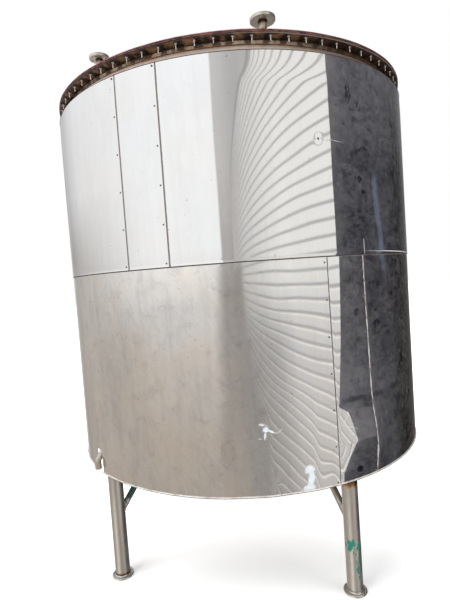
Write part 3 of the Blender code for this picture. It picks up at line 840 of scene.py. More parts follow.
@dataclass(frozen=True)
class SatinFinish:
    """Satin stainless tube or casting: grain drawn along it, a warm film, and weld colours near given heights, which on
    the front right leg stand at the cladding's edge, where the dark middle is painted shade.
    """

    name: str
    colour: tuple = (0.60, 0.565, 0.52)
    roughness: float = 0.26
    weld_heights: tuple = ()
    weld_reach: float = 0.03
    paint: tuple = ()

    def build(self) -> bpy.types.Material:
        """Wires grain, film, weld tint and, where given, smears of green paint."""
        material, wiring, shader = new_material(self.name)
        place = wiring.node("ShaderNodeTexCoord").outputs["Object"]
        drawn = wiring.stretched(place, (1.0, 1.0, 0.05))
        grain = GRAIN.place(wiring, Vector=drawn, Fineness=240.0)
        smudges = SMUDGES.place(wiring, Vector=wiring.stretched(place, (2.0, 2.0, 2.0)), Haze=0.15, Scuff=0.5)
        colour = wiring.mix(wiring.math("MULTIPLY", grain["Wear"], 0.35), (*self.colour, 1.0), (0.46, 0.42, 0.37, 1.0))
        colour = wiring.mix(smudges["Film"], colour, (0.30, 0.24, 0.18, 1.0))
        rough = wiring.math("ADD", wiring.ramp(grain["Wear"], 0.0, 1.0, self.roughness, self.roughness + 0.10),
                            wiring.math("MULTIPLY", smudges["Film"], 0.2))
        metal = wiring.ramp(smudges["Film"], 0.0, 1.0, 1.0, 0.55, smooth=False)
        height = wiring.node("ShaderNodeSeparateXYZ", None, Vector=place).outputs[2]
        for weld in self.weld_heights:
            away = wiring.math("ABSOLUTE", wiring.math("SUBTRACT", height, weld))
            tint = HEAT_TINT.place(wiring, Distance=away, Reach=self.weld_reach, Vector=place)
            colour = wiring.mix(tint["Share"], colour, tint["Colour"])
        for smear in self.paint:
            mask = smear.mask(wiring, place)
            colour = wiring.mix(mask, colour, (*smear.colour, 1.0))
            rough = wiring.math("ADD", wiring.math("MULTIPLY", rough, wiring.math("SUBTRACT", 1.0, mask)),
                                wiring.math("MULTIPLY", mask, 0.4))
            metal = wiring.math("MULTIPLY", metal, wiring.math("SUBTRACT", 1.0, mask))
        bump = wiring.node("ShaderNodeBump", None, Strength=0.12, Distance=0.0004, Height=grain["Height"])
        wiring.surface(shader, Base_Color=colour, Metallic=metal, Roughness=rough, Normal=bump.outputs[0])
        return material


@dataclass(frozen=True)
class Smear:
    """Paint wiped on a tube: an ellipsoid of space in which torn noise lets it show."""

    x: float
    y: float
    z: float
    reach: float
    high: float
    colour: tuple = (0.0, 0.16, 0.11)
    cover: float = 0.5

    def mask(self, wiring: Wiring, place: bpy.types.NodeSocket) -> object:
        """Noise above a level that rises towards the ellipsoid's edge."""
        away = wiring.vector("SUBTRACT", place, (self.x, self.y, self.z))
        scaled = wiring.vector("MULTIPLY", away, (1.0 / self.reach, 1.0 / self.reach, 1.0 / self.high))
        length = wiring.vector("LENGTH", scaled)
        torn = wiring.noise(wiring.stretched(place, (1.6, 1.6, 0.7)), 42.0, 4.0, 0.65, 0.8)
        level = wiring.math("ADD", wiring.math("MULTIPLY", length, 0.35), 0.62 - 0.35 * self.cover)
        return wiring.ramp(wiring.math("SUBTRACT", torn, level), -0.02, 0.03)


@dataclass(frozen=True)
class Dent:
    """A shallow dent or swelling: a bell-shaped bump on the sheet."""

    azimuth: float
    level: float
    wide: float
    high: float
    depth: float

    def height(self, azimuth: Array, level: Array) -> Array:
        """Depth times exp of minus the squared distances over width (degrees) and height (metres)."""
        across = ((azimuth - self.azimuth + 180.0) % 360.0 - 180.0) / self.wide
        along = (level - self.level) / self.high
        return self.depth * np.exp(-across ** 2 - along ** 2)


@dataclass
class Cladding:
    """The two tiers of riveted sheets, each wavy, lapped left over right, with the upper tier over the lower."""

    sheet: float = 0.0010
    strip_sweep: float = 12.2
    starts: dict = field(default_factory=lambda: {Tier.UPPER: -29.2, Tier.LOWER: 22.4})
    lap: float = 1.0
    lap_drop: float = 0.0013
    tier_lap: float = 0.022
    rivet_back: float = 0.63
    rivet_radius: float = 0.0046
    rivet_height: float = 0.0021
    folds: tuple = (-7.0, 4.3, 16.7, 22.0)
    fold_softness: float = 0.0005
    flatness: float = 0.6
    slot_azimuth: float = -50.5
    slot_half: float = 0.026
    slot_top: float = SEAM - 0.885

    def ripple(self, tier: Tier, azimuth: Array, level: Array) -> Array:
        """Slight waviness of thin sheet: slow waves of a few tenths of a millimetre plus this tier's dents.

        The waves are sines of azimuth and height with unlike periods and fixed phases.
        """
        waves = ((31.0, 0.83, 0.3, 0.00016), (17.0, 0.47, 1.7, 0.00010), (9.3, 0.31, 4.1, 0.00004),
                 (43.0, 0.29, 2.2, 0.00012))
        shift = 0.0 if tier is Tier.UPPER else 2.6
        strength = 0.5 if tier is Tier.UPPER else 0.9
        total = np.zeros(np.broadcast(azimuth, level).shape)
        for wide, high, phase, size in waves:
            total += size * strength * np.sin(2 * pi * azimuth / wide + phase + shift) * \
                np.cos(2 * pi * level / high + 1.3 * phase + shift)
        for dent in self.dents(tier):
            total += dent.height(azimuth, level)
        if tier is Tier.LOWER:
            total += self.flats(azimuth, level)
        return total

    def dents(self, tier: Tier) -> list:
        """The dents that the photograph shows, and a few like them on the sides that it does not."""
        if tier is Tier.UPPER:
            return [Dent(22.0, 0.494, 0.50, 0.009, -0.0016), Dent(22.0, 0.494, 1.1, 0.020, -0.0003),
                    Dent(8.9, 0.500, 0.5, 0.030, -0.00005), Dent(150.0, 0.3, 5.0, 0.10, -0.0015)]
        return [Dent(5.2, -0.955, 1.0, 0.020, 0.0006), Dent(20.3, -1.02, 2.4, 0.09, -0.0018),
                Dent(-140.0, -0.55, 6.0, 0.12, -0.0022)]

    def flats(self, azimuth: Array, level: Array) -> Array:
        """The buckled foot of the lower front sheet: towards its bottom edge the round gives way to flats.

        Each flat is a chord of the circle between two folds, the lowest chord wins by a soft minimum, and the whole
        grows from nothing at mid height to a share of itself at the foot.
        """
        wrapped = (azimuth + 180.0) % 360.0 - 180.0
        total = np.ones(np.shape(wrapped))
        for start, end in zip(self.folds, self.folds[1:]):
            away = np.radians(np.clip(wrapped - (start + end) / 2, -60.0, 60.0))
            chord = LOWER_RADIUS * (cos(radians((end - start) / 2)) / np.cos(away) - 1.0)
            total = total + np.exp(-chord / self.fold_softness)
        grown = self.flatness * smoothstep(-0.52, -0.92, level)
        return -self.fold_softness * np.log(total) * grown

    def right_edge(self, tier: Tier, part: str, level: Array, end: float) -> Array:
        """Where a sheet's right edge runs; the lower strip's is knocked out of line near its foot."""
        if tier is Tier.LOWER and part == "strip":
            bulge = 1.7 * np.exp(-((level + 0.86) / 0.15) ** 2) + 0.5 * smoothstep(0.0, -0.6, level)
            return end + bulge - 0.4
        if tier is Tier.LOWER and part == "sheet_3":
            return end + 0.25 * smoothstep(-0.1, -0.9, level)
        return end + 0.0 * level

    def build(self, finishes: dict) -> None:
        """Makes both tiers, with their rivets, edges and slot."""
        for tier in Tier:
            for part, start, sweep_degrees in self.parts(tier):
                finish = finishes.get(f"{tier.value}_{part}", finishes[tier])
                self.build_sheet(tier, part, start, sweep_degrees, finish)
            self.build_rivets(tier, finishes["rivet"])
        self.build_bottom_edge(finishes["edge"])
        self.build_strip_hem(finishes["hem"])

    def parts(self, tier: Tier) -> list:
        """Name, start and sweep of each sheet of a tier, in degrees."""
        strip = self.starts[tier]
        wide = (360.0 - self.strip_sweep) / 3
        made = [("strip", strip, self.strip_sweep)]
        made += [(f"sheet_{i + 1}", strip + self.strip_sweep + i * wide, wide) for i in range(3)]
        return made

    def seam_levels(self, tier: Tier) -> Array:
        """Heights of the rivets above the seam, evenly pitched as in the photograph."""
        return 0.015 + 0.165 * np.arange(6) if tier is Tier.UPPER else -0.028 - 0.1608 * np.arange(7)

    def build_sheet(self, tier: Tier, part: str, start: float, sweep_degrees: float,
                    finish: bpy.types.Material) -> None:
        """One sheet as a closed thin solid: an outer grid over azimuth and height, the same grid a sheet's
        thickness further in, and strips that join their edges."""
        radius = UPPER_RADIUS if tier is Tier.UPPER else LOWER_RADIUS
        bottom = SEAM if tier is Tier.UPPER else CLADDING_BOTTOM
        top = CLADDING_TOP if tier is Tier.UPPER else SEAM + self.tier_lap
        front = abs((start + sweep_degrees / 2 + 180.0) % 360.0 - 180.0) < 100.0
        step = 0.5 if front else 1.4
        rows = spaced(bottom, top, 0.0125 if front else 0.04)
        if tier is Tier.UPPER:
            rows = np.concatenate([[bottom, bottom + 0.0012, bottom + 0.003, bottom + 0.006], rows[1:]])
        end = start + sweep_degrees
        share = np.concatenate([spaced(-self.lap / sweep_degrees, 0.0, 0.5 / sweep_degrees)[:-1],
                                spaced(0.0, 1.0 - 2.2 / sweep_degrees, step / sweep_degrees)[:-1],
                                spaced(1.0 - 2.2 / sweep_degrees, 1.0, 0.22 / sweep_degrees)])
        if tier is Tier.LOWER and part == "sheet_3":
            share = self.with_slot_columns(share, start, sweep_degrees)
        level = rows[None, :] - SEAM
        left = self.right_edge(tier, self.before(part), level, start)
        right = self.right_edge(tier, part, level, end)
        azimuth = left + (right - left) * share[:, None]
        outer = radius + self.ripple(tier, azimuth, level)
        outer = outer - self.lap_drop * smoothstep(left + 0.30, left - 0.05, azimuth)
        if tier is Tier.UPPER:
            outer = outer + 0.0008 * smoothstep(0.006, 0.0, level) - 0.0016 * smoothstep(0.73, 0.87, level)
        azimuth, outer, height, left, right = np.broadcast_arrays(azimuth, outer, rows[None, :], left, right)
        keep = None
        if tier is Tier.LOWER and part == "sheet_3":
            keep = self.outside_slot(azimuth, height)
        obj = closed_sheet(f"{tier.value}_{part}_skin", around(azimuth, outer, height),
                           around(azimuth, outer - self.sheet, height), keep)
        edges = np.stack([azimuth - left, right - azimuth], axis=-1) * radians(1.0) * radius
        unwound = azimuth - 360.0 * np.round(azimuth.mean() / 360.0)
        add_sheet_maps(obj, np.stack([np.radians(unwound), height], axis=-1), edges)
        dress(obj, finish, "cladding", f"{tier.value}_{part}")

    def before(self, part: str) -> str:
        """The part to the left of this one."""
        order = ["strip", "sheet_1", "sheet_2", "sheet_3"]
        return order[order.index(part) - 1]

    def with_slot_columns(self, share: Array, start: float, sweep_degrees: float) -> Array:
        """Adds grid lines on both sides of the spout's slot."""
        half = degrees(self.slot_half / LOWER_RADIUS)
        edges = [((self.slot_azimuth + 360.0 + side * half) - start) / sweep_degrees for side in (-1.0, 1.0)]
        rest = share[(share < edges[0] - 0.002) | (share > edges[1] + 0.002)]
        inside = np.linspace(edges[0], edges[1], 9)
        return np.sort(np.concatenate([rest, inside]))

    def outside_slot(self, azimuth: Array, height: Array) -> Array:
        """True for the grid cells that the slot leaves, by the place of each cell's middle."""
        middle_azimuth = (azimuth[:-1, :-1] + azimuth[1:, 1:]) / 2
        middle_height = (height[:-1, :-1] + height[1:, 1:]) / 2
        across = np.radians(middle_azimuth - 360.0 - self.slot_azimuth) * LOWER_RADIUS
        roof = self.slot_top - 0.35 * np.abs(across)
        return ~((np.abs(across) < self.slot_half) & (middle_height < roof))

    def build_rivets(self, tier: Tier, finish: bpy.types.Material) -> None:
        """Low domed rivets in a row to the left of each seam."""
        radius = UPPER_RADIUS if tier is Tier.UPPER else LOWER_RADIUS
        angle = np.linspace(pi / 2, 0.0, 5)
        dome = [(0.0, 0.0)] + [(self.rivet_radius, 0.0)]
        dome += [(self.rivet_radius * sin(a), self.rivet_height * cos(a)) for a in angle[1:]]
        points, faces = turned_shape(dome, 12)
        levels = self.seam_levels(tier)
        azimuths, heights = [], []
        for part, start, sweep_degrees in self.parts(tier):
            edge = self.right_edge(tier, part, levels, start + sweep_degrees)
            azimuths.append(np.broadcast_to(edge - self.rivet_back, levels.shape))
            heights.append(SEAM + levels)
        azimuths, heights = np.concatenate(azimuths), np.concatenate(heights)
        proud = radius + self.ripple(tier, azimuths, heights - SEAM) - 0.0003
        obj = scatter(f"{tier.value}_rivets", points, faces, facing_out(azimuths, proud, heights))
        dress(obj, finish, "cladding")

    def build_strip_hem(self, finish: bpy.types.Material) -> None:
        """The lower strip's lifted right edge: a thin wavy bead whose thickness and stand-off wander."""
        level = spaced(CLADDING_BOTTOM - SEAM + 0.004, -0.004, 0.006)
        edge = self.right_edge(Tier.LOWER, "strip", level, self.starts[Tier.LOWER] + self.strip_sweep)
        wobble = np.sin(level * 95.0) + np.sin(level * 41.0 + 1.0)
        radius = LOWER_RADIUS + self.ripple(Tier.LOWER, edge, level) + 0.0004 + 0.0004 * wobble
        path = around(edge + 0.035 * np.sin(level * 130.0) - 0.06, radius, SEAM + level)
        dress(sweep("lower_strip_hem", path, 0.0015 + 0.0002 * wobble, 10), finish, "cladding")

    def build_bottom_edge(self, finish: bpy.types.Material) -> None:
        """The wired bottom edge of the lower tier, which stops at the spout's slot."""
        half = degrees(self.slot_half / LOWER_RADIUS)
        azimuth = spaced(self.slot_azimuth + half, self.slot_azimuth + 360.0 - half, 0.8)
        level = np.full_like(azimuth, CLADDING_BOTTOM - SEAM)
        wrapped = np.where(azimuth < self.starts[Tier.LOWER], azimuth + 360.0, azimuth)
        radius = LOWER_RADIUS - self.sheet / 2 + self.ripple(Tier.LOWER, wrapped, level)
        path = around(azimuth, radius + 0.0010, CLADDING_BOTTOM + 0.001 + 0.0 * azimuth)
        dress(sweep("bottom_wired_edge", path, 0.0040, 12), finish, "cladding")


def closed_sheet(name: str, face: Array, back: Array, keep: Array = None) -> bpy.types.Object:
    """A closed thin solid between two grids of points.

    Args:
        name: the piece's name.
        face: the outer grid, whose last axis is x, y, z.
        back: the inner grid, in the same order.
        keep: which grid cells are there, where some are cut away.

    Returns:
        The new object.
    """
    rows, columns = face.shape[:2]
    cells = grid_faces(rows, columns, False, False)
    if keep is not None:
        cells = cells[keep.ravel()]
    count = rows * columns
    edges = np.concatenate([cells[:, [k, (k + 1) % 4]] for k in range(4)]).astype(np.int64)
    rim = edges[~np.isin(edges[:, 0] * count + edges[:, 1], edges[:, 1] * count + edges[:, 0])]
    sides = np.stack([rim[:, 1], rim[:, 0], rim[:, 0] + count, rim[:, 1] + count], axis=1)
    points = np.concatenate([face.reshape(-1, 3), back.reshape(-1, 3)])
    return make_mesh(name, points, np.concatenate([cells, cells[:, ::-1] + count, sides]))


def add_sheet_maps(obj: bpy.types.Object, sheet: Array, edges: Array) -> None:
    """Writes the UV maps "sheet" and "edges" from grid values, by each mesh corner's grid number.

    Args:
        obj: a thick sheet, whose outer points come first and whose inner points follow in the same order.
        sheet: azimuth in radians and height of each grid point.
        edges: metres from the left seam and from the right edge of each grid point.
    """
    mesh = obj.data
    corner = np.zeros(len(mesh.loops), dtype=np.int32)
    mesh.loops.foreach_get("vertex_index", corner)
    for name, values in (("sheet", sheet), ("edges", edges)):
        flat = values.reshape(-1, 2)
        layer = mesh.uv_layers.new(name=name)
        layer.data.foreach_set("uv", flat[corner % len(flat)].astype(np.float32).ravel())
    body = bmesh.new()
    body.from_mesh(mesh)
    bmesh.ops.delete(body, geom=[v for v in body.verts if not v.link_faces], context="VERTS")
    body.to_mesh(mesh)
    body.free()


@dataclass
class Rim:
    """The two flange rings with the gasket between them, their bolts, and the closure ring below."""

    inner: float = 0.920
    outer: float = 0.996
    bolts: int = 78
    first_bolt: float = 2.44
    bolt_circle: float = 0.981
    nut_across: float = 0.0100
    nut_height: float = 0.0052
    thread: float = 0.0022
    thread_length: float = 0.024
    steps: int = 360

    def build(self, finishes: dict) -> None:
        """Makes the rings, the bolts and the closure."""
        for node, finish, edge in (("vessel_flange", "flange", 0.0010), ("flange_gasket", "gasket", 0.0028),
                                   ("lid_flange", "lid_flange", 0.0014)):
            low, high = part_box(node)
            slot = "gasket" if node == "flange_gasket" else "flange"
            self.build_ring(node, low.z, high.z, edge, finishes[finish], slot)
        self.build_bolts(finishes["bolt"])
        self.build_closures(finishes["closure"])

    def build_ring(self, node: str, low: float, high: float, edge: float, finish: bpy.types.Material,
                   slot: str) -> None:
        """A flange ring whose outer edge wanders by a fraction of a millimetre round the turn."""
        section = np.array(rounded_box(self.inner, self.outer, low, high, edge, 3))
        turn = full_turn(self.steps)
        wander = 0.0005 * np.sin(np.radians(turn) * 7 + 0.6) + 0.0004 * np.sin(np.radians(turn) * 23 + low * 900)
        outward = (section[:, 0] > (self.inner + self.outer) / 2).astype(float)
        radius = section[None, :, 0] + wander[:, None] * outward[None, :]
        points = around(turn[:, None], radius, section[None, :, 1])
        obj = make_mesh(f"{node}_ring", points, grid_faces(len(turn), len(section), True, True))
        dress(obj, finish, slot, node)

    def build_bolts(self, finish: bpy.types.Material) -> None:
        """Hexagon heads and washers above the lid's ring, nuts and thread ends below the vessel's ring."""
        azimuths = self.first_bolt + 360.0 / self.bolts * np.arange(self.bolts)
        hexagon = self.nut_across / 2 / cos(pi / 6)
        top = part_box("lid_flange")[1].z
        washer = turned_shape([(0.0, 0.0), (0.0062, 0.0), (0.0062, 0.0012), (0.0, 0.0012)], 16)
        head = turned_shape([(0.0, 0.0012), (hexagon, 0.0012), (hexagon, 0.0048), (hexagon * 0.86, 0.0054),
                             (0.0, 0.0054)], 6)
        spin = np.array([(37.0 * k) % 60.0 for k in range(self.bolts)])
        points, faces = joined_shapes(washer, head)
        dress(scatter("lid_bolt_heads", points, faces, upright(azimuths, self.bolt_circle, top, spin)),
              finish, "flange")
        drop = -self.nut_height
        nut = turned_shape([(0.0, drop), (hexagon * 0.84, drop), (hexagon, drop + 0.0009), (hexagon, -0.0008),
                            (hexagon * 0.9, 0.0), (0.0, 0.0)], 6)
        pitch = np.linspace(-self.thread_length, drop, 15)
        ridges = [(0.0, -self.thread_length - 0.0006)]
        ridges += [(self.thread * (1.0 if k % 2 else 0.92), float(z)) for k, z in enumerate(pitch)]
        thread = turned_shape(ridges + [(0.0, drop)], 10)
        points, faces = joined_shapes(nut, thread)
        places = upright(azimuths, self.bolt_circle, RIM_UNDERSIDE, spin * 1.7)
        dress(scatter("lid_bolt_nuts", points, faces, places), finish, "flange")

    def build_closures(self, finish: bpy.types.Material) -> None:
        """The sloping closure sheets between vessel and cladding, with a lap where two meet."""
        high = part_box("top_closure_1")[1].z
        for k in range(4):
            start = -46.0 + 90.0 * k
            azimuth = np.concatenate([[start - 0.7], spaced(start, start + 90.0, 0.75)])[:, None]
            share = np.linspace(0.0, 1.0, 9)[None, :]
            radius = UPPER_RADIUS - 0.0006 - share * (UPPER_RADIUS - VESSEL_RADIUS - 0.0022)
            height = CLADDING_TOP + 0.0015 + share * (high - CLADDING_TOP - 0.0015)
            height = height + 0.0005 * np.sin(np.radians(azimuth) * 11 + k) * np.sin(share * pi)
            height = height - 0.0012 * smoothstep(start + 0.3, start - 0.1, azimuth)
            obj = closed_sheet(f"closure_{k + 1}_sheet", around(azimuth, radius, height),
                               around(azimuth, radius, height - 0.0010))
            dress(obj, finish, "closure", f"top_closure_{k + 1}")


@dataclass
class Vessel:
    """The vessel's wall where it shows below the rim, its dished bottom, and the lid's cone with its welds."""

    wall: float = 0.004
    knuckle: float = 0.150
    crown: float = 1.900
    lid_slope: float = 12.0
    lid_plate: float = 0.004

    def dish(self, offset: float, knuckle_steps: int = 14, crown_steps: int = 26) -> list:
        """Outline from the dish's edge to the axis: a knuckle arc that meets a wide crown arc, moved out by an
        offset."""
        centre = VESSEL_RADIUS - self.knuckle
        reach = self.crown - self.knuckle
        angle = np.arcsin(centre / reach)
        lift = DISH_EDGE + reach * cos(angle)
        bend = np.linspace(pi / 2, angle, knuckle_steps + 1)
        wide = np.linspace(angle, 0.0, crown_steps + 1)[1:]
        first = [(centre + (self.knuckle + offset) * sin(a), DISH_EDGE - (self.knuckle + offset) * cos(a))
                 for a in bend]
        return first + [((self.crown + offset) * sin(a), lift - (self.crown + offset) * cos(a)) for a in wide]

    def dish_height(self, radius: Array) -> Array:
        """Height of the dish's outer face at a distance from the axis: the lower of its two arcs."""
        centre = VESSEL_RADIUS - self.knuckle
        reach = self.crown - self.knuckle
        angle = np.arcsin(centre / reach)
        lift = DISH_EDGE + reach * cos(angle)
        meets = self.crown * sin(angle)
        beside = np.clip(radius - centre, -self.knuckle, self.knuckle)
        knuckle = DISH_EDGE - np.sqrt(np.maximum(self.knuckle ** 2 - beside ** 2, 0.0))
        crown = lift - np.sqrt(self.crown ** 2 - np.minimum(radius, meets) ** 2)
        return np.where(radius > meets, knuckle, crown)

    def build(self, finishes: dict) -> None:
        """Makes the wall's four quarters, the dish and the lid."""
        low, high = DISH_EDGE + 0.001, RIM_UNDERSIDE - 0.0002
        for k in range(4):
            azimuths = spaced(45.0 + 90.0 * k, 134.97 + 90.0 * k, 1.0)
            section = [(VESSEL_RADIUS - self.wall, low), (VESSEL_RADIUS, low), (VESSEL_RADIUS, high),
                       (VESSEL_RADIUS - self.wall, high)]
            obj = capped_turn(f"vessel_wall_{k + 1}_plate", section, azimuths)
            dress(obj, finishes["band"], "vessel", f"vessel_wall_{k + 1}")
        outline = self.dish(0.0)[::-1] + self.dish(-self.wall)
        obj = ring("dished_bottom_plate", outline, 144)
        dress(obj, finishes["dish"], "vessel", "vessel_dished_bottom")
        self.build_lid(finishes)
        for k in range(4):
            azimuths = spaced(-46.0 + 90.0 * k, 43.97 + 90.0 * k, 1.5)
            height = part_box(f"bottom_closure_{k + 1}")[0].z
            inner, outer = VESSEL_RADIUS + 0.0008, LOWER_RADIUS - 0.0062
            section = [(inner, height), (outer, height), (outer, height + 0.001), (inner, height + 0.001)]
            obj = capped_turn(f"underside_closure_{k + 1}_sheet", section, azimuths)
            dress(obj, finishes["closure"], "closure", f"bottom_closure_{k + 1}")

    def lid_height(self, radius: float) -> float:
        """Height of the lid cone's upper face."""
        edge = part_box("lid_flange")[1].z
        return edge + (0.920 - radius) * tan(radians(self.lid_slope))

    def build_lid(self, finishes: dict) -> None:
        """The cone: straight slope with a soft top, a weld at its foot and three radial welds."""
        radii = np.concatenate([np.linspace(0.9197, 0.12, 24), np.linspace(0.11, 0.0, 8)])
        top = np.array([self.lid_height(hypot(r, 0.035)) for r in radii])
        under = top - self.lid_plate
        outline = list(zip(radii[::-1], under[::-1])) + list(zip(radii, top))
        obj = ring("lid_cone_plate", outline, 180)
        dress(obj, finishes["lid"], "vessel", "lid_cone")
        foot = self.lid_height(0.9197)
        bead = ring("lid_foot_weld", weld_section(0.9195, foot + 0.0003, 0.0035), 360)
        dress(bead, finishes["weld"], "vessel")
        share = np.linspace(0.0, 1.0, 90)
        for k, azimuth in enumerate((64.0, 184.0, 304.0)):
            radius = 0.915 - share * 0.89
            height = np.array([self.lid_height(hypot(r, 0.035)) for r in radius])
            path = around(azimuth + 0.0 * radius, radius, height)
            width = 0.0030 + 0.0004 * np.sin(share * 240.0 + k)
            dress(sweep(f"lid_radial_weld_{k + 1}", path, width, 8), finishes["weld"], "vessel")


def weld_section(radius: float, height: float, size: float) -> list:
    """A weld bead's low round section, counter-clockwise."""
    angle = np.radians(np.arange(0.0, 360.0, 45.0))
    return [(radius + size * cos(a), height + 0.55 * size * sin(a)) for a in angle]


def capped_turn(name: str, section: list, azimuths: Array) -> bpy.types.Object:
    """A four-sided section carried through part of a turn and closed by a face at both ends."""
    outline = np.asarray(section, dtype=float)
    points = around(azimuths[:, None], outline[None, :, 0], outline[None, :, 1])
    faces = grid_faces(len(azimuths), 4, False, True)
    last = (len(azimuths) - 1) * 4
    caps = np.array([[0, 1, 2, 3], [last + 3, last + 2, last + 1, last]])
    return make_mesh(name, points, np.concatenate([faces, caps]))


@dataclass(frozen=True)
class Nozzle:
    """A drilled flange on a pipe stub: sizes as in the frame, with bore, holes and welds."""

    name: str
    flange: float
    pipe: float
    bolt_circle: float
    hole: float
    turn: float = 20.0

    def build(self, vessel: Vessel, finishes: dict) -> None:
        """Makes the pipe, the flange with its four holes, and the weld at the lid."""
        low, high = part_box(f"{self.name}_nozzle_flange")
        centre = ((low.x + high.x) / 2, (low.y + high.y) / 2)
        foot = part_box(f"{self.name}_nozzle_pipe")[0].z
        bore = self.pipe - 0.003
        face = high.z
        wide = self.pipe * 1.12
        stub = [(bore, foot), (self.pipe, foot), (self.pipe, face - 0.0050), (wide, face - 0.0050),
                (wide, face - 0.0005), (bore, face - 0.0005)]
        dress(ring(f"{self.name}_pipe_stub", stub, 64, centre), finishes["nozzle"], "nozzle",
              f"{self.name}_nozzle_pipe")
        section = rounded_box(wide, self.flange, low.z, face, 0.0026, 4)
        plate = ring(f"{self.name}_flange_ring", section, 96, centre)
        self.drill(plate, centre, low.z, face)
        dress(plate, finishes["nozzle_flange"], "nozzle", f"{self.name}_nozzle_flange")
        collar = [(wide, low.z - 0.0008), (wide + 0.0035, low.z - 0.0008), (wide + 0.0042, low.z + 0.0005),
                  (wide, low.z + 0.0005)]
        dress(ring(f"{self.name}_flange_hub", collar, 64, centre), finishes["nozzle"], "nozzle")
        slope = tan(radians(vessel.lid_slope))
        angle = np.radians(full_turn(64))
        spot = np.stack([centre[0] + self.pipe * np.cos(angle), centre[1] + self.pipe * np.sin(angle)], axis=1)
        height = vessel.lid_height(0.0) - np.hypot(spot[:, 0], spot[:, 1]) * slope
        path = np.concatenate([spot, height[:, None]], axis=1)
        path = np.concatenate([path, path[:2]])
        dress(sweep(f"{self.name}_nozzle_weld", path, 0.0034 + 0.0004 * np.sin(np.arange(66) * 2.1), 8),
              finishes["weld"], "nozzle")

    def drill(self, plate: bpy.types.Object, centre: tuple, low: float, high: float) -> None:
        """Cuts the four bolt holes with round cutters and applies the cut."""
        for k in range(4):
            angle = radians(self.turn + 90.0 * k)
            spot = (centre[0] + self.bolt_circle * cos(angle), centre[1] + self.bolt_circle * sin(angle))
            points, faces = turned_shape([(0.0, low - 0.01), (self.hole, low - 0.01), (self.hole, high + 0.01),
                                          (0.0, high + 0.01)], 28)
            cutter = make_mesh("hole_cutter", points + np.array([spot[0], spot[1], 0.0]), faces)
            cut = plate.modifiers.new("hole", "BOOLEAN")
            cut.operation = "DIFFERENCE"
            cut.object = cutter
            apply_modifiers(plate)
            bpy.data.objects.remove(cutter, do_unlink=True)


def apply_modifiers(obj: bpy.types.Object) -> None:
    """Bakes an object's modifiers into its mesh."""
    bpy.context.view_layer.update()
    evaluated = obj.evaluated_get(bpy.context.evaluated_depsgraph_get())
    mesh = bpy.data.meshes.new_from_object(evaluated)
    obj.modifiers.clear()
    obj.data = mesh
    mesh.shade_smooth()
    mesh.set_sharp_from_angle(angle=radians(40.0))


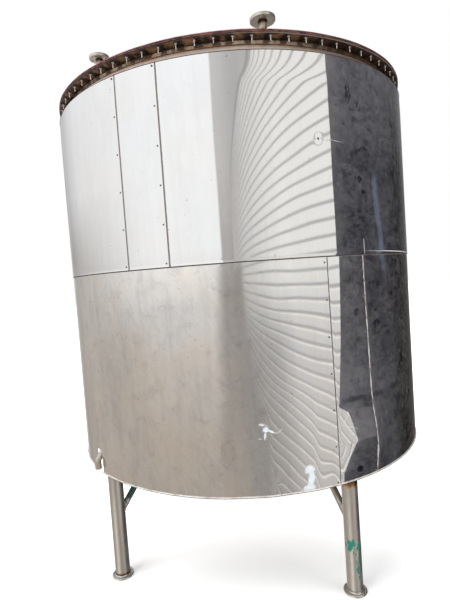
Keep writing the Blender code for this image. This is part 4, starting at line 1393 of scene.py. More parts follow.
@dataclass
class Legs:
    """Four tube legs with round feet and slanting braces."""

    azimuths: dict = field(default_factory=lambda: {"front_left": -46.7, "front_right": 27.2, "back_left": 207.2,
                                                    "back_right": 133.3})
    circle: float = 0.955
    radius: float = 0.0362
    wall: float = 0.003
    foot_radius: float = 0.0535
    foot_height: float = 0.012
    brace_radius: float = 0.016
    brace_low: float = SEAM - 1.235
    brace_slope: float = 48.0

    def build(self, vessel: Vessel, finishes: dict) -> None:
        """Makes each leg with its foot, brace and welds."""
        for name, azimuth in self.azimuths.items():
            self.build_tube(name, azimuth, vessel, finishes["leg_" + name])
            self.build_foot(name, azimuth, finishes["foot"])
            self.build_brace(name, azimuth, vessel, finishes["brace_" + name], finishes["weld"])

    def build_tube(self, name: str, azimuth: float, vessel: Vessel, finish: bpy.types.Material) -> None:
        """A tube whose top follows the vessel: each point's top is the dish's height at that place."""
        centre = around(azimuth, self.circle, 0.0)
        top_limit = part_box(f"{name}_leg")[1].z
        turn = np.radians(full_turn(48))
        low = self.foot_height
        share = np.concatenate([[0.0], np.linspace(0.02, 1.0, 25)])
        layers = []
        for radius in (self.radius, self.radius - self.wall):
            x = centre[0] + radius * np.cos(turn)
            y = centre[1] + radius * np.sin(turn)
            top = np.minimum(vessel.dish_height(np.hypot(x, y)), top_limit)
            top = np.where(np.hypot(x, y) > VESSEL_RADIUS, top_limit, top) - 0.0004
            layers.append(np.stack([np.broadcast_to(x, (len(share), len(turn))),
                                    np.broadcast_to(y, (len(share), len(turn))),
                                    low + share[:, None] * (top - low)[None, :]], axis=-1))
        points = np.concatenate([layers[0], layers[1][::-1]])
        faces = grid_faces(len(points), len(turn), True, True)[:, ::-1]
        dress(make_mesh(f"{name}_leg_tube", points, faces), finish, "leg", f"{name}_leg")

    def build_foot(self, name: str, azimuth: float, finish: bpy.types.Material) -> None:
        """A foot turned from one outline: flat sole, rounded rim, dished top and a fillet up to the tube."""
        centre = around(azimuth, self.circle, 0.0)
        rim = 0.0056
        edge = [(self.foot_radius - rim + rim * cos(a), rim + rim * sin(a))
                for a in np.linspace(-pi / 2, pi / 2, 11)]
        dished = [(self.foot_radius - 0.0085, 0.0096), (self.radius + 0.0075, 0.0088)]
        fillet = [(self.radius + 0.0075 - 0.0068 * sin(a), 0.0158 - 0.0070 * cos(a))
                  for a in np.linspace(0.25, pi / 2, 6)]
        outline = [(0.0, 0.0)] + edge + dished + fillet + [(0.0, 0.0158)]
        angle = full_turn(64)
        profile = np.asarray(outline)
        points = around(angle[:, None], profile[None, :, 0], profile[None, :, 1])
        points = points + np.array([centre[0], centre[1], 0.0])
        obj = make_mesh(f"{name}_foot_disc", points, grid_faces(len(angle), len(profile), True, False))
        dress(obj, finish, "leg", f"{name}_foot")

    def build_brace(self, name: str, azimuth: float, vessel: Vessel, finish: bpy.types.Material,
                    weld: bpy.types.Material) -> None:
        """A round bar from the tube up to the dish, with a weld bead at both ends."""
        foot = around(azimuth, self.circle, self.brace_low)
        inward = around(azimuth, -1.0, 0.0)
        slope = tan(radians(self.brace_slope))
        run = np.linspace(0.0, 0.45, 400)
        height = self.brace_low + run * slope
        clear = vessel.dish_height(self.circle - run) - height
        length = run[np.argmax(clear < 0.0)]
        share = np.linspace(0.0, 1.0, 12)[:, None]
        path = foot + share * (inward * length + np.array([0.0, 0.0, length * slope + 0.004]))
        dress(sweep(f"{name}_brace_bar", path, self.brace_radius, 32), finish, "leg", f"{name}_brace")
        self.build_brace_weld(name, azimuth, path, weld)

    def build_brace_weld(self, name: str, azimuth: float, path: Array, weld: bpy.types.Material) -> None:
        """The bead where bar meets tube: the bar's circle pushed along the bar until it lies on the tube."""
        centre = around(azimuth, self.circle, 0.0)
        direction = (path[-1] - path[0]) / np.linalg.norm(path[-1] - path[0])
        across = np.cross(direction, np.array([0.0, 0.0, 1.0]))
        across /= np.linalg.norm(across)
        third = np.cross(direction, across)
        angle = np.linspace(0.0, 2.0 * pi, 40)
        start = path[0] + self.brace_radius * (np.cos(angle)[:, None] * across + np.sin(angle)[:, None] * third)
        flat = start[:, :2] - centre[:2]
        way = direction[:2]
        b = flat @ way
        a = way @ way
        c = (flat ** 2).sum(axis=1) - self.radius ** 2
        step = (-b + np.sqrt(np.maximum(b * b - a * c, 0.0))) / a
        line = start + step[:, None] * direction
        dress(sweep(f"{name}_brace_weld", line, 0.0030 + 0.0004 * np.sin(angle * 17), 8), weld, "leg")


@dataclass
class Spout:
    """The drain: out of the vessel on a slant, then straight down outside the cladding."""

    azimuth: float = -50.5
    radius: float = 0.0162
    wall: float = 0.003
    circle: float = 1.011
    end: float = SEAM - 0.988
    bend: float = SEAM - 0.944
    slope: float = 52.0
    slant: float = 0.128

    def build(self, finish: bpy.types.Material) -> None:
        """A pipe with its outer and inner face along one path, which rounds the bend."""
        outward = around(self.azimuth, 1.0, 0.0)
        up = np.array([0.0, 0.0, 1.0])
        direction = -outward + up * tan(radians(self.slope))
        direction /= np.linalg.norm(direction)
        corner = outward * self.circle + up * self.bend
        start = corner + direction * self.slant
        turn = np.linspace(0.0, 1.0, 9)[:, None]
        first, last = corner + direction * 0.010, corner - up * 0.010
        arc = (1 - turn) ** 2 * first + 2 * turn * (1 - turn) * corner + turn ** 2 * last
        low = outward * self.circle + up * self.end
        path = np.concatenate([start + (first - start) * np.linspace(0.0, 0.97, 12)[:, None], arc,
                               last + (low - last) * np.linspace(0.05, 1.0, 10)[:, None]])
        length = np.linalg.norm(path - low, axis=1)
        collar = 0.0009 * smoothstep(0.020, 0.018, length) * smoothstep(0.0, 0.0015, length)
        outer = ring_path(path, self.radius + collar, 32)
        inner = ring_path(path, np.full(len(path), self.radius - self.wall), 32)
        points = np.concatenate([outer, inner[::-1]])
        faces = grid_faces(len(points), 32, True, True)[:, ::-1]
        dress(make_mesh("drain_spout_pipe", points, faces), finish, "leg", "drain_spout")


def ring_path(path: Array, radii: Array, sides: int) -> Array:
    """Circles set square to a path, without end points."""
    points, _ = swept(path, radii, sides)
    return points.reshape(-1, sides, 3)[1:-1]


@dataclass(frozen=True)
class Mirror:
    """What the round cladding shows to the camera: view rays from the eye, turned about the wall's normal."""

    eye_distance: float = 2.8423
    eye_level: float = -0.0658

    def sight(self, azimuth: Array) -> tuple:
        """Follows the view rays to the wall, in plan.

        Args:
            azimuth: where on the cladding, in degrees.

        Returns:
            The points on the wall, the directions of the mirrored rays, and the distances from the eye.
        """
        normal = around(azimuth, 1.0, 0.0)[..., :2]
        point = normal * UPPER_RADIUS
        ray = point - np.array([0.0, -self.eye_distance])
        distance = np.linalg.norm(ray, axis=-1)
        ray = ray / distance[..., None]
        away = ray - 2.0 * (ray * normal).sum(axis=-1)[..., None] * normal
        return point, away, distance

    def to_drum(self, azimuth: Array, drum: float) -> Array:
        """How far the mirrored rays run to a drum of a given radius round the tank."""
        point, away, _ = self.sight(azimuth)
        along = (point * away).sum(axis=-1)
        return -along + np.sqrt(along ** 2 - (point ** 2).sum(axis=-1) + drum ** 2)

    def placed(self, azimuth: Array, reach: Array, level: Array) -> Array:
        """Points that show on the cladding at an azimuth and a level above the seam, at the end of the mirrored
        rays: heights grow from the eye's by (distance + reach) / distance."""
        point, away, distance = self.sight(azimuth)
        plan = point + reach[..., None] * away
        growth = (distance + reach) / distance
        height = SEAM + self.eye_level + (level - self.eye_level) * growth
        return np.concatenate([plan, height[..., None]], axis=-1)


class CardTone:
    """The light of a card as a function of where it shows on the cladding: azimuth and level."""

    def colour(self, wiring: Wiring, azimuth: object, level: object, height: object) -> object:
        """Wires the colour.

        Args:
            wiring: the card's nodes.
            azimuth: where it shows on the cladding, degrees.
            level: how high it shows, metres above the seam.
            height: the card's own height, metres above the seam.

        Returns:
            The colour socket.
        """
        raise NotImplementedError


class OpenTone(CardTone):
    """Bright open air on the left, dimmer to the far left and below, then a grey band left of the wall."""

    def colour(self, wiring: Wiring, azimuth: object, level: object, height: object) -> object:
        """Mixes two upright gradients by azimuth, and the band beyond a sharp leaning edge."""
        share = wiring.ramp(level, -1.0, 1.0, smooth=False)
        near = wiring.shades(share, [(0.0, (0.47, 0.425, 0.375)), (1.0, (1.13, 1.16, 1.20)),
                                     (0.12, (0.52, 0.475, 0.425)), (0.30, (0.66, 0.63, 0.595)),
                                     (0.40, (0.79, 0.78, 0.77)), (0.475, (0.98, 0.975, 0.96)),
                                     (0.53, (1.09, 1.115, 1.14))])
        far = wiring.shades(share, [(0.0, (0.50, 0.45, 0.40)), (1.0, (0.98, 1.00, 1.03)),
                                    (0.12, (0.50, 0.455, 0.41)), (0.30, (0.56, 0.52, 0.48)),
                                    (0.52, (0.58, 0.565, 0.55)), (0.70, (0.90, 0.905, 0.92))])
        open_air = wiring.mix(wiring.ramp(azimuth, -54.0, -16.0), far, near)
        rim = wiring.shades(share, [(0.0, (0.86, 0.85, 0.83)), (1.0, (0.62, 0.62, 0.64)),
                                    (0.5, (0.74, 0.72, 0.70)), (0.72, (0.48, 0.47, 0.46))])
        open_air = wiring.mix(wiring.ramp(azimuth, -61.0, -66.5), open_air, rim)
        turned = wiring.ramp(azimuth, -74.0, -44.0, smooth=False)
        shade = wiring.shades(turned, [(0.0, (1.0, 1.0, 1.0)), (1.0, (1.0, 1.0, 1.0)), (0.25, (0.97, 0.97, 0.97)),
                                       (0.34, (0.72, 0.72, 0.73)), (0.47, (0.62, 0.62, 0.63)),
                                       (0.63, (0.80, 0.80, 0.81)), (0.82, (0.97, 0.97, 0.98))])
        open_air = wiring.mix(wiring.ramp(level, -0.05, 0.10, 0.50, 1.0), open_air,
                              wiring.mix(1.0, open_air, shade, "MULTIPLY"))
        hollow = wiring.math("MULTIPLY", wiring.math("MULTIPLY", wiring.ramp(azimuth, -52.0, -38.0),
                                                     wiring.ramp(azimuth, -20.0, -35.0)),
                             wiring.math("MULTIPLY", wiring.ramp(level, -0.08, -0.38), wiring.ramp(level, -0.80, -0.45)))
        open_air = wiring.mix(wiring.math("MULTIPLY", hollow, 0.17), open_air, (0.10, 0.09, 0.08, 1.0))
        band = wiring.shades(share, [(0.0, (0.44, 0.390, 0.34)), (1.0, (0.68, 0.68, 0.69)),
                                     (0.22, (0.385, 0.358, 0.335)), (0.44, (0.38, 0.36, 0.35)),
                                     (0.52, (0.50, 0.48, 0.47)), (0.70, (0.64, 0.63, 0.62))])
        dim = wiring.ramp(azimuth, -3.0, 1.5, 1.0, 0.80)
        band = wiring.mix(1.0, band, dim, "MULTIPLY")
        edge = wiring.math("ADD", azimuth, wiring.math("ADD", wiring.ramp(level, 0.03, -0.03, 3.6, 4.8),
                                                       wiring.ramp(level, -0.03, -0.40, 0.0, 0.9)))
        crisp = wiring.ramp(level, 0.02, -0.02, 1.0, 0.13)
        return wiring.mix(wiring.ramp(wiring.math("MULTIPLY", edge, crisp), -0.25, 0.25), open_air, band)


class WallTone(CardTone):
    """A pale wall with even level grooves, dimmer with distance, with a soft grey eave along its top."""

    pitch = 0.158
    groove_level = 0.1248
    eave = 3.15

    def colour(self, wiring: Wiring, azimuth: object, level: object, height: object) -> object:
        """Grooves by the card's own height: grey ones everywhere, and a pale line under each below eye level."""
        turns = wiring.math("DIVIDE", wiring.math("SUBTRACT", height, self.groove_level), self.pitch)
        phase = wiring.math("FRACT", wiring.math("ADD", turns, 50.5))
        near = wiring.math("ABSOLUTE", wiring.math("SUBTRACT", phase, 0.5))
        groove = wiring.ramp(near, 0.140, 0.075)
        share = wiring.ramp(height, -3.0, 3.0, smooth=False)
        panel = wiring.shades(share, [(0.0, (0.58, 0.55, 0.525)), (1.0, (0.99, 0.98, 0.96)),
                                      (0.17, (0.665, 0.645, 0.63)), (0.34, (0.725, 0.715, 0.71)),
                                      (0.42, (0.82, 0.815, 0.81)), (0.50, (0.98, 0.975, 0.96)),
                                      (0.66, (1.03, 1.02, 1.005))])
        line = wiring.mix(1.0, panel, wiring.mix(wiring.ramp(height, 0.1, -1.6), (0.53, 0.535, 0.55, 1.0),
                                                 (0.78, 0.78, 0.79, 1.0)), "MULTIPLY")
        fine = wiring.math("SINE", wiring.math("MULTIPLY", turns, 2.0 * pi * 6.0))
        panel = wiring.mix(wiring.ramp(fine, 0.3, 1.0, 0.0, 0.10), panel, (0.45, 0.45, 0.46, 1.0))
        pale_place = wiring.math("ABSOLUTE", wiring.math("SUBTRACT", phase, 0.285))
        pale = wiring.math("MULTIPLY", wiring.ramp(pale_place, 0.095, 0.035), wiring.ramp(height, -0.02, -0.12))
        colour = wiring.mix(groove, panel, line)
        colour = wiring.mix(pale, colour, (1.03, 0.985, 0.93, 1.0))
        faint = wiring.ramp(azimuth, 12.0, -0.5, 1.0, 0.72)
        colour = wiring.mix(1.0, colour, faint, "MULTIPLY")
        haze = wiring.ramp(azimuth, 3.5, -0.7)
        colour = wiring.mix(wiring.math("MULTIPLY", haze, 0.5), colour, (0.46, 0.45, 0.45, 1.0))
        below = wiring.math("MULTIPLY", wiring.ramp(azimuth, 15.0, 7.5), wiring.ramp(level, -0.05, -0.45, 0.0, 0.28))
        colour = wiring.mix(below, colour, (0.0, 0.0, 0.0, 1.0))
        margin = wiring.math("MULTIPLY", wiring.ramp(azimuth, 1.7, 0.1), wiring.ramp(level, 0.02, -0.04))
        colour = wiring.mix(margin, colour, (0.36, 0.34, 0.325, 1.0))
        return wiring.mix(wiring.ramp(height, self.eave, self.eave + 0.25), colour, (0.395, 0.39, 0.40, 1.0))


class ShadeTone(CardTone):
    """A dark shed right of the wall, with a faint bluish glint and a lighter far edge."""

    def colour(self, wiring: Wiring, azimuth: object, level: object, height: object) -> object:
        """A gradient by azimuth, lighter near the top and low down, plus the glint's narrow bell."""
        share = wiring.ramp(azimuth, 25.0, 70.0, smooth=False)
        above = wiring.shades(share, [(0.0, (0.098, 0.095, 0.104)), (1.0, (0.34, 0.325, 0.33)),
                                      (0.045, (0.068, 0.066, 0.078)), (0.09, (0.040, 0.040, 0.053)),
                                      (0.14, (0.028, 0.028, 0.041)), (0.25, (0.018, 0.019, 0.030)),
                                      (0.42, (0.034, 0.034, 0.048)), (0.52, (0.019, 0.019, 0.027)),
                                      (0.60, (0.007, 0.007, 0.011)), (0.69, (0.014, 0.014, 0.018)),
                                      (0.78, (0.066, 0.063, 0.064)), (0.87, (0.140, 0.132, 0.134))])
        below = wiring.shades(share, [(0.0, (0.098, 0.096, 0.106)), (1.0, (0.32, 0.305, 0.30)),
                                      (0.09, (0.065, 0.064, 0.075)), (0.16, (0.044, 0.043, 0.054)),
                                      (0.25, (0.023, 0.023, 0.033)), (0.42, (0.028, 0.027, 0.036)),
                                      (0.51, (0.009, 0.008, 0.010)), (0.60, (0.007, 0.006, 0.006)),
                                      (0.69, (0.017, 0.014, 0.013)), (0.78, (0.042, 0.037, 0.036)),
                                      (0.87, (0.105, 0.098, 0.094))])
        across = wiring.mix(wiring.ramp(level, 0.04, -0.04), above, below)
        low = wiring.math("MULTIPLY", wiring.ramp(level, -0.30, -0.62), wiring.ramp(level, -0.99, -0.80))
        low = wiring.math("MULTIPLY", low, wiring.ramp(azimuth, 50.0, 30.0, 0.0, 0.060))
        lift = wiring.math("ADD", wiring.ramp(level, 0.30, 0.85, 0.0, 0.062), low)
        across = wiring.mix(1.0, across, wiring.mix(lift, (0.0, 0.0, 0.0, 1.0), (1.0, 0.98, 1.06, 1.0)), "ADD")
        leaning = wiring.math("ADD", azimuth, wiring.ramp(level, 0.325, -0.15, 1.4, -2.0, smooth=False))
        streaks = wiring.node("ShaderNodeTexNoise", {"noise_dimensions": "1D"}, W=leaning, Scale=2.6, Detail=3.0)
        bell = wiring.math("MULTIPLY", wiring.ramp(leaning, 39.9, 41.3), wiring.ramp(leaning, 43.7, 42.0))
        tall = wiring.math("MULTIPLY", wiring.ramp(level, -0.16, 0.02), wiring.ramp(level, 0.40, 0.30))
        glint = wiring.math("MULTIPLY", wiring.math("MULTIPLY", bell, tall),
                            wiring.ramp(streaks.outputs[0], 0.36, 0.62, 0.15, 1.0))
        return wiring.mix(wiring.math("MULTIPLY", glint, 0.60), across, (0.20, 0.245, 0.37, 1.0))


class FanTone(CardTone):
    """A bright patch of open ground, brightest in the middle of the fan, that a front leg mirrors."""

    def colour(self, wiring: Wiring, azimuth: object, level: object, height: object) -> object:
        """A bell by the direction from the leg."""
        share = wiring.ramp(azimuth, Studio.fan_start, Studio.fan_end, smooth=False)
        return wiring.shades(share, [(0.0, (0.46, 0.43, 0.39)), (1.0, (0.46, 0.43, 0.39)),
                                     (0.30, (0.80, 0.78, 0.74)), (0.48, (1.28, 1.25, 1.20)),
                                     (0.60, (1.10, 1.07, 1.02)), (0.80, (0.62, 0.59, 0.55))])


@dataclass
class Studio:
    """Camera, floor, soft light, and the cards that only reflections see."""

    mirror: Mirror = field(default_factory=Mirror)
    yaw: float = -1.978
    pitch: float = 2.776
    roll: float = -4.047
    focal_pixels: float = 444.1
    sensor: float = 36.0
    drum: float = 40.0
    wall_start: float = -0.75
    wall_end: float = 25.45
    wall_nearness: float = 0.4524
    wall_power: float = 0.36
    wall_top: float = 3.54
    card_low: float = -1.9
    card_high: float = 1.7
    fan_start: float = -78.0
    fan_end: float = 2.0

    def build(self) -> None:
        """Sets the stage."""
        self.build_camera()
        self.build_world()
        self.build_floor()
        self.build_lights()
        self.build_drum_card("open_card", -74.0, 20.0, OpenTone())
        self.build_drum_card("shade_card", 20.0, 74.0, ShadeTone())
        self.build_wall_card()
        for name, depth in (("front_left", 0.02), ("front_right", 0.03)):
            self.build_fan_card(name, depth)
        bpy.context.scene.view_settings.view_transform = "Standard"

    def build_camera(self) -> None:
        """A wide lens close to the tank, rolled as in the photograph."""
        data = bpy.data.cameras.new("camera")
        data.sensor_width = self.sensor
        data.lens = self.focal_pixels * self.sensor / IMAGE_HEIGHT
        data.clip_start, data.clip_end = 0.05, 200.0
        camera = bpy.data.objects.new("camera", data)
        bpy.context.scene.collection.objects.link(camera)
        yaw, pitch, roll = radians(self.yaw), radians(self.pitch), radians(self.roll)
        ahead = Vector((sin(yaw) * cos(pitch), cos(yaw) * cos(pitch), -sin(pitch)))
        right = Vector((cos(yaw), -sin(yaw), 0.0))
        up = right.cross(ahead)
        leaned_right = cos(roll) * right + sin(roll) * up
        leaned_up = -sin(roll) * right + cos(roll) * up
        axes = Matrix((leaned_right, leaned_up, -ahead)).transposed()
        eye = Vector((0.0, -self.mirror.eye_distance, SEAM + self.mirror.eye_level))
        camera.matrix_world = Matrix.Translation(eye) @ axes.to_4x4()
        bpy.context.scene.camera = camera

    def build_world(self) -> None:
        """White behind the object, pale grey for what the light and the reflections see."""
        world = bpy.data.worlds.new("studio")
        bpy.context.scene.world = world
        world.use_nodes = True
        wiring = Wiring(world.node_tree)
        background = world.node_tree.nodes["Background"]
        path = wiring.node("ShaderNodeLightPath")
        tone = wiring.mix(path.outputs["Is Glossy Ray"], (0.85, 0.86, 0.87, 1.0), (0.60, 0.60, 0.60, 1.0))
        wiring.feed(wiring.mix(path.outputs["Is Camera Ray"], tone, (1.0, 1.0, 1.0, 1.0)),
                    background.inputs["Color"])

    def build_floor(self) -> None:
        """A pale floor that reflections do not see, glowing with painted light: bright enough to end in white far off,
        and near the tank weaker in front than under and behind it, which lifts the tank's shadow there.
        """
        reach = 40.0
        points = np.array([[-reach, -reach, 0.0], [reach, -reach, 0.0], [reach, reach, 0.0], [-reach, reach, 0.0]])
        floor = make_mesh("floor", points, np.array([[0, 1, 2, 3]]))
        material, wiring, shader = new_material("pale_floor")
        place = wiring.node("ShaderNodeTexCoord").outputs["Object"]
        away = wiring.vector("LENGTH", place)
        ahead = wiring.node("ShaderNodeSeparateXYZ", None, Vector=place).outputs[1]
        # painted light: near the tank the floor glows weakly in front and more under and behind it, lifting its shadow
        low = wiring.mix(wiring.ramp(ahead, -0.78, -0.22), (0.20, 0.20, 0.20, 1.0), (0.72, 0.72, 0.72, 1.0))
        glow = wiring.mix(wiring.ramp(away, 1.3, 3.6), low, (1.0, 1.0, 1.0, 1.0))
        wiring.surface(shader, Base_Color=(0.82, 0.82, 0.82, 1.0), Roughness=0.9, Specular_IOR_Level=0.0,
                       Emission_Color=glow, Emission_Strength=1.0)
        floor.data.materials.append(material)
        floor.visible_glossy = False

    def build_lights(self) -> None:
        """One wide soft light high at the left front, and weaker ones at the right and behind."""
        for name, place, size, power in (("key_light", (-4.5, -4.0, 6.5), 4.5, 420.0),
                                         ("fill_light", (5.0, -3.0, 5.0), 4.0, 150.0),
                                         ("back_light", (0.0, 5.5, 6.0), 5.0, 250.0)):
            data = bpy.data.lights.new(name, "AREA")
            data.size = size
            data.energy = power
            light = bpy.data.objects.new(name, data)
            light.location = place
            light.rotation_euler = (Vector((0.0, 0.0, 1.2)) - Vector(place)).to_track_quat("-Z", "Y").to_euler()
            light.visible_glossy = False
            bpy.context.scene.collection.objects.link(light)

    def build_drum_card(self, name: str, start: float, end: float, tone: CardTone) -> None:
        """A card on a drum round the tank, over the part that shows between two azimuths of the cladding."""
        azimuth, level = np.meshgrid(spaced(start, end, 1.0), spaced(self.card_low, self.card_high, 0.1),
                                     indexing="ij")
        reach = self.mirror.to_drum(azimuth, self.drum)
        self.build_card(name, azimuth, level, self.mirror.placed(azimuth, reach, level), tone)

    def build_wall_card(self) -> None:
        """The grooved wall beside the camera, which runs away behind it: its nearness, the share of a view ray
        that lies before the cladding, falls by a power of the azimuth from where the wall ends."""
        azimuth, share = np.meshgrid(spaced(self.wall_start, self.wall_end, 0.35), np.linspace(0.0, 1.0, 40),
                                     indexing="ij")
        turned = (azimuth - self.wall_start + 0.12) / (self.wall_end - self.wall_start)
        nearness = self.wall_nearness * turned ** self.wall_power
        top = self.mirror.eye_level + self.wall_top * nearness
        level = self.card_low + (top - self.card_low) * share
        _, _, distance = self.mirror.sight(azimuth)
        reach = distance * (1.0 / nearness - 1.0)
        self.build_card("wall_card", azimuth, level, self.mirror.placed(azimuth, reach, level), WallTone())

    def build_fan_card(self, name: str, depth: float) -> None:
        """A fan just under the floor before a front leg, too near for any ray from the cladding to meet it."""
        azimuth, reach = np.meshgrid(spaced(self.fan_start, self.fan_end, 2.0), np.linspace(0.02, 1.0, 12),
                                     indexing="ij")
        points = around(azimuth, reach, -depth) + around(Legs().azimuths[name], Legs.circle, 0.0)
        self.build_card(name + "_fan_card", azimuth, reach, points, FanTone())

    def build_card(self, name: str, azimuth: Array, level: Array, points: Array, tone: CardTone) -> None:
        """A glowing sheet that only glossy rays see, with a UV map of where it shows on the cladding.

        Args:
            name: the card's name.
            azimuth: degrees on the cladding, one for each grid point.
            level: metres above the seam on the cladding, one for each grid point.
            points: the grid points in space.
            tone: its light.
        """
        rows, columns = azimuth.shape
        faces = grid_faces(rows, columns, False, False)
        card = make_mesh(name, points, faces)
        seen = np.stack([azimuth.ravel(), level.ravel()], axis=1)[faces.ravel()]
        card.data.uv_layers.new(name="seen").data.foreach_set("uv", seen.astype(np.float32).ravel())
        material = bpy.data.materials.new(name)
        material.use_nodes = True
        material.node_tree.nodes.clear()
        wiring = Wiring(material.node_tree)
        shown = wiring.node("ShaderNodeSeparateXYZ", None,
                            Vector=wiring.node("ShaderNodeUVMap", {"uv_map": "seen"}).outputs[0])
        place = wiring.node("ShaderNodeSeparateXYZ", None,
                            Vector=wiring.node("ShaderNodeTexCoord").outputs["Object"])
        height = wiring.math("SUBTRACT", place.outputs[2], SEAM)
        colour = tone.colour(wiring, shown.outputs[0], shown.outputs[1], height)
        glow = wiring.node("ShaderNodeEmission", None, Color=colour)
        wiring.node("ShaderNodeOutputMaterial", None, Surface=glow.outputs[0])
        material.cycles.emission_sampling = "NONE"
        card.data.materials.append(material)
        card.visible_camera = False
        card.visible_diffuse = False
        card.visible_shadow = False
        card.visible_transmission = False


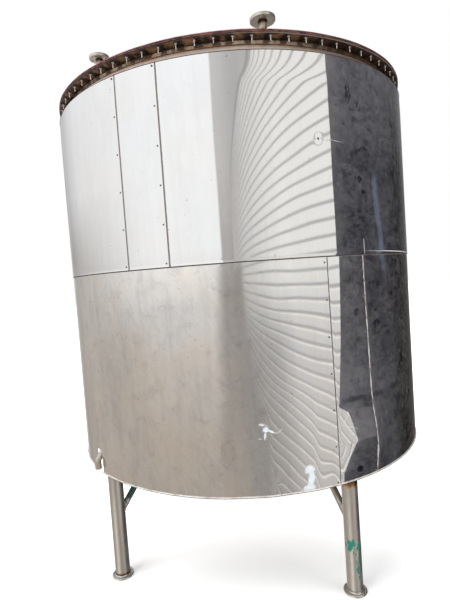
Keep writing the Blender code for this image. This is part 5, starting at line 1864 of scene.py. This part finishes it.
def finishes() -> dict:
    """Every finish of the tank, by the name that the classes ask for."""
    made = {
        Tier.UPPER: CladdingFinish("upper_cladding", Tier.UPPER, seam_colour=(0.13, 0.105, 0.092),
                                   seam_wide=0.0080).build(),
        Tier.LOWER: CladdingFinish("lower_cladding", Tier.LOWER, stain=0.45).build(),
        "lower_strip": CladdingFinish("lower_strip_cladding", Tier.LOWER, leans=True).build(),
        "rivet": StainedAndShadedFinish("rivet_steel", (0.22, 0.20, 0.18), (0.13, 0.11, 0.095), (0.045, 0.035, 0.03), 60.0,
                               0.7, 0.40).build(),
        # bottom edge: its lower half painted dark, painted shade under the bead
        "edge": StainedAndShadedFinish("bottom_edge_steel", (0.80, 0.77, 0.74), (0.72, 0.68, 0.64), (0.40, 0.35, 0.30), 20.0,
                              0.5, 0.35, bands=(Band(0.50, CLADDING_BOTTOM + 0.0012, (0.020, 0.016, 0.014)),)).build(),
        "hem": StainedAndShadedFinish("strip_hem_steel", (0.62, 0.59, 0.55), (0.50, 0.46, 0.41), (0.13, 0.10, 0.08), 70.0,
                             0.2, 0.40).build(),
        # closure: its right tint is painted shade
        "closure": StainedAndShadedFinish("closure_sheet", (0.70, 0.60, 0.54), (0.58, 0.47, 0.41), (0.30, 0.20, 0.14), 7.0,
                                 0.5, 0.36, right=(0.52, 0.46, 0.42),
                                 bands=(Band(0.9962, 1.01, (0.030, 0.022, 0.018), True, ragged=0.003),
                                        Band(0.90, VESSEL_RADIUS + 0.005, (0.050, 0.032, 0.022), True,
                                             ragged=0.004))).build(),
        # vessel band: stains, with painted side shade and painted bolt shadows
        "band": StainedAndShadedFinish("stained_vessel_band", (0.53, 0.44, 0.33), (0.33, 0.22, 0.125), (0.040, 0.019, 0.010),
                              12.0, 0.4, 0.42, 0.90, (0.22, 0.17, 0.12), (0.42, 0.32, 0.26),
                              (Band(2.430, 2.4392, (0.020, 0.012, 0.008), ragged=0.002),
                               Band(2.4388, 2.4412, (0.26, 0.095, 0.030), ragged=0.007, azimuths=(-34.0, 19.0)),
                               # the dark band just under the flange: painted shade
                               Band(2.4540, 2.47, (0.018, 0.009, 0.006), ragged=0.010))).build(),
        # vessel flange: brown stains darkened to near black as painted shade of the underside, with painted side shade
        # and bolt shadows
        "flange": StainedAndShadedFinish("vessel_flange_steel", (0.17, 0.090, 0.040), (0.050, 0.022, 0.010),
                                (0.007, 0.004, 0.003), 18.0, 0.2, 0.5, 1.0, (0.36, 0.30, 0.26), (0.50, 0.36, 0.30),
                                # its outer edge painted lighter on the right and near black on the left: painted light
                                # and shade
                                (Band(0.9948, 1.01, (0.10, 0.070, 0.055), True, 1.0, 0.0004),
                                 Band(0.9948, 1.01, (0.016, 0.008, 0.006), True, -1.0, 0.0004))).build(),
        # lid flange and gasket: the right and left tints are painted shade, and the gasket's runs painted bolt shadows
        "lid_flange": StainedAndShadedFinish("lid_flange_steel", (0.25, 0.125, 0.105), (0.17, 0.075, 0.06),
                                    (0.05, 0.02, 0.015), 13.0, 0.3, 0.5, 0.0, (0.62, 0.72, 0.72), (0.75, 0.55, 0.5),
                                    (Band(2.4700, 2.4717, (0.012, 0.006, 0.005)),)).build(),
        "gasket": StainedAndShadedFinish("gasket_rubber", (0.17, 0.060, 0.052), (0.085, 0.022, 0.018),
                                (0.020, 0.008, 0.006), 16.0, 0.0, 0.7, 0.4, (0.55, 0.60, 0.60), (0.6, 0.5, 0.5),
                                (Band(2.4630, 2.4652, (0.010, 0.005, 0.004), ragged=0.001),)).build(),
        "bolt": StainedAndShadedFinish("bolt_steel", (0.85, 0.83, 0.80), (0.72, 0.69, 0.65), (0.30, 0.22, 0.18), 40.0,
                              0.9, 0.25).build(),
        "lid": SatinFinish("lid_plate_steel", (0.60, 0.585, 0.56), 0.30).build(),
        "dish": SatinFinish("dish_plate_steel", (0.56, 0.54, 0.51), 0.33).build(),
        "weld": StainedAndShadedFinish("weld_bead", (0.50, 0.46, 0.42), (0.33, 0.26, 0.20), (0.12, 0.08, 0.07), 50.0,
                              0.9, 0.38).build(),
        "nozzle": SatinFinish("nozzle_steel", (0.60, 0.55, 0.47), 0.24, (SEAM + 1.257, SEAM + 1.313), 0.020).build(),
        "nozzle_flange": SatinFinish("nozzle_flange_steel", (0.70, 0.645, 0.57), 0.26).build(),
        "foot": SatinFinish("foot_steel", (0.72, 0.70, 0.67), 0.14).build(),
        "spout": SatinFinish("spout_steel", (0.66, 0.60, 0.52), 0.20).build(),
    }
    right = around(27.2, 0.955, 0.0)
    left = around(-46.7, 0.955, 0.0)
    green = (Smear(right[0] - 0.010, right[1] - 0.035, 0.235, 0.072, 0.075, cover=0.74),
             Smear(right[0] + 0.012, right[1] - 0.035, 0.12, 0.014, 0.100, cover=0.80))
    patches = (Smear(left[0] * 0.92, left[1] * 0.92, 0.40, 0.14, 0.085, (0.012, 0.055, 0.045), 0.85),)
    for name in ("front_left", "back_left", "back_right"):
        made["leg_" + name] = SatinFinish(f"{name}_leg_steel", weld_heights=(0.016,), weld_reach=0.012).build()
    # front right leg: the tint sits at the cladding's bottom edge, where there is no weld; its dark middle is painted
    # shade under the edge, with brown and orange rings below
    made["leg_front_right"] = SatinFinish("front_right_leg_steel", weld_heights=(SEAM - 1.003,),
                                          weld_reach=0.045, paint=green).build()
    for name in ("front_right", "back_left", "back_right"):
        made["brace_" + name] = SatinFinish(f"{name}_brace_steel", (0.50, 0.47, 0.43)).build()
    made["brace_front_left"] = SatinFinish("front_left_brace_steel", (0.50, 0.47, 0.43), paint=patches).build()
    return made


def main() -> None:
    """Builds the tank's pieces in order, then the studio."""
    logging.basicConfig(level=logging.INFO, format="%(name)s: %(message)s")
    looks = finishes()
    vessel = Vessel()
    vessel.build(looks)
    Rim().build(looks)
    Cladding().build(looks)
    for nozzle in (Nozzle("middle", 0.070, 0.0212, 0.050, 0.009, 78.0),
                   Nozzle("left", 0.0575, 0.0169, 0.0425, 0.007, 80.0)):
        nozzle.build(vessel, looks)
    Legs().build(vessel, looks)
    Spout().build(looks["spout"])
    Studio().build()


if __name__ == "__main__":
    main()
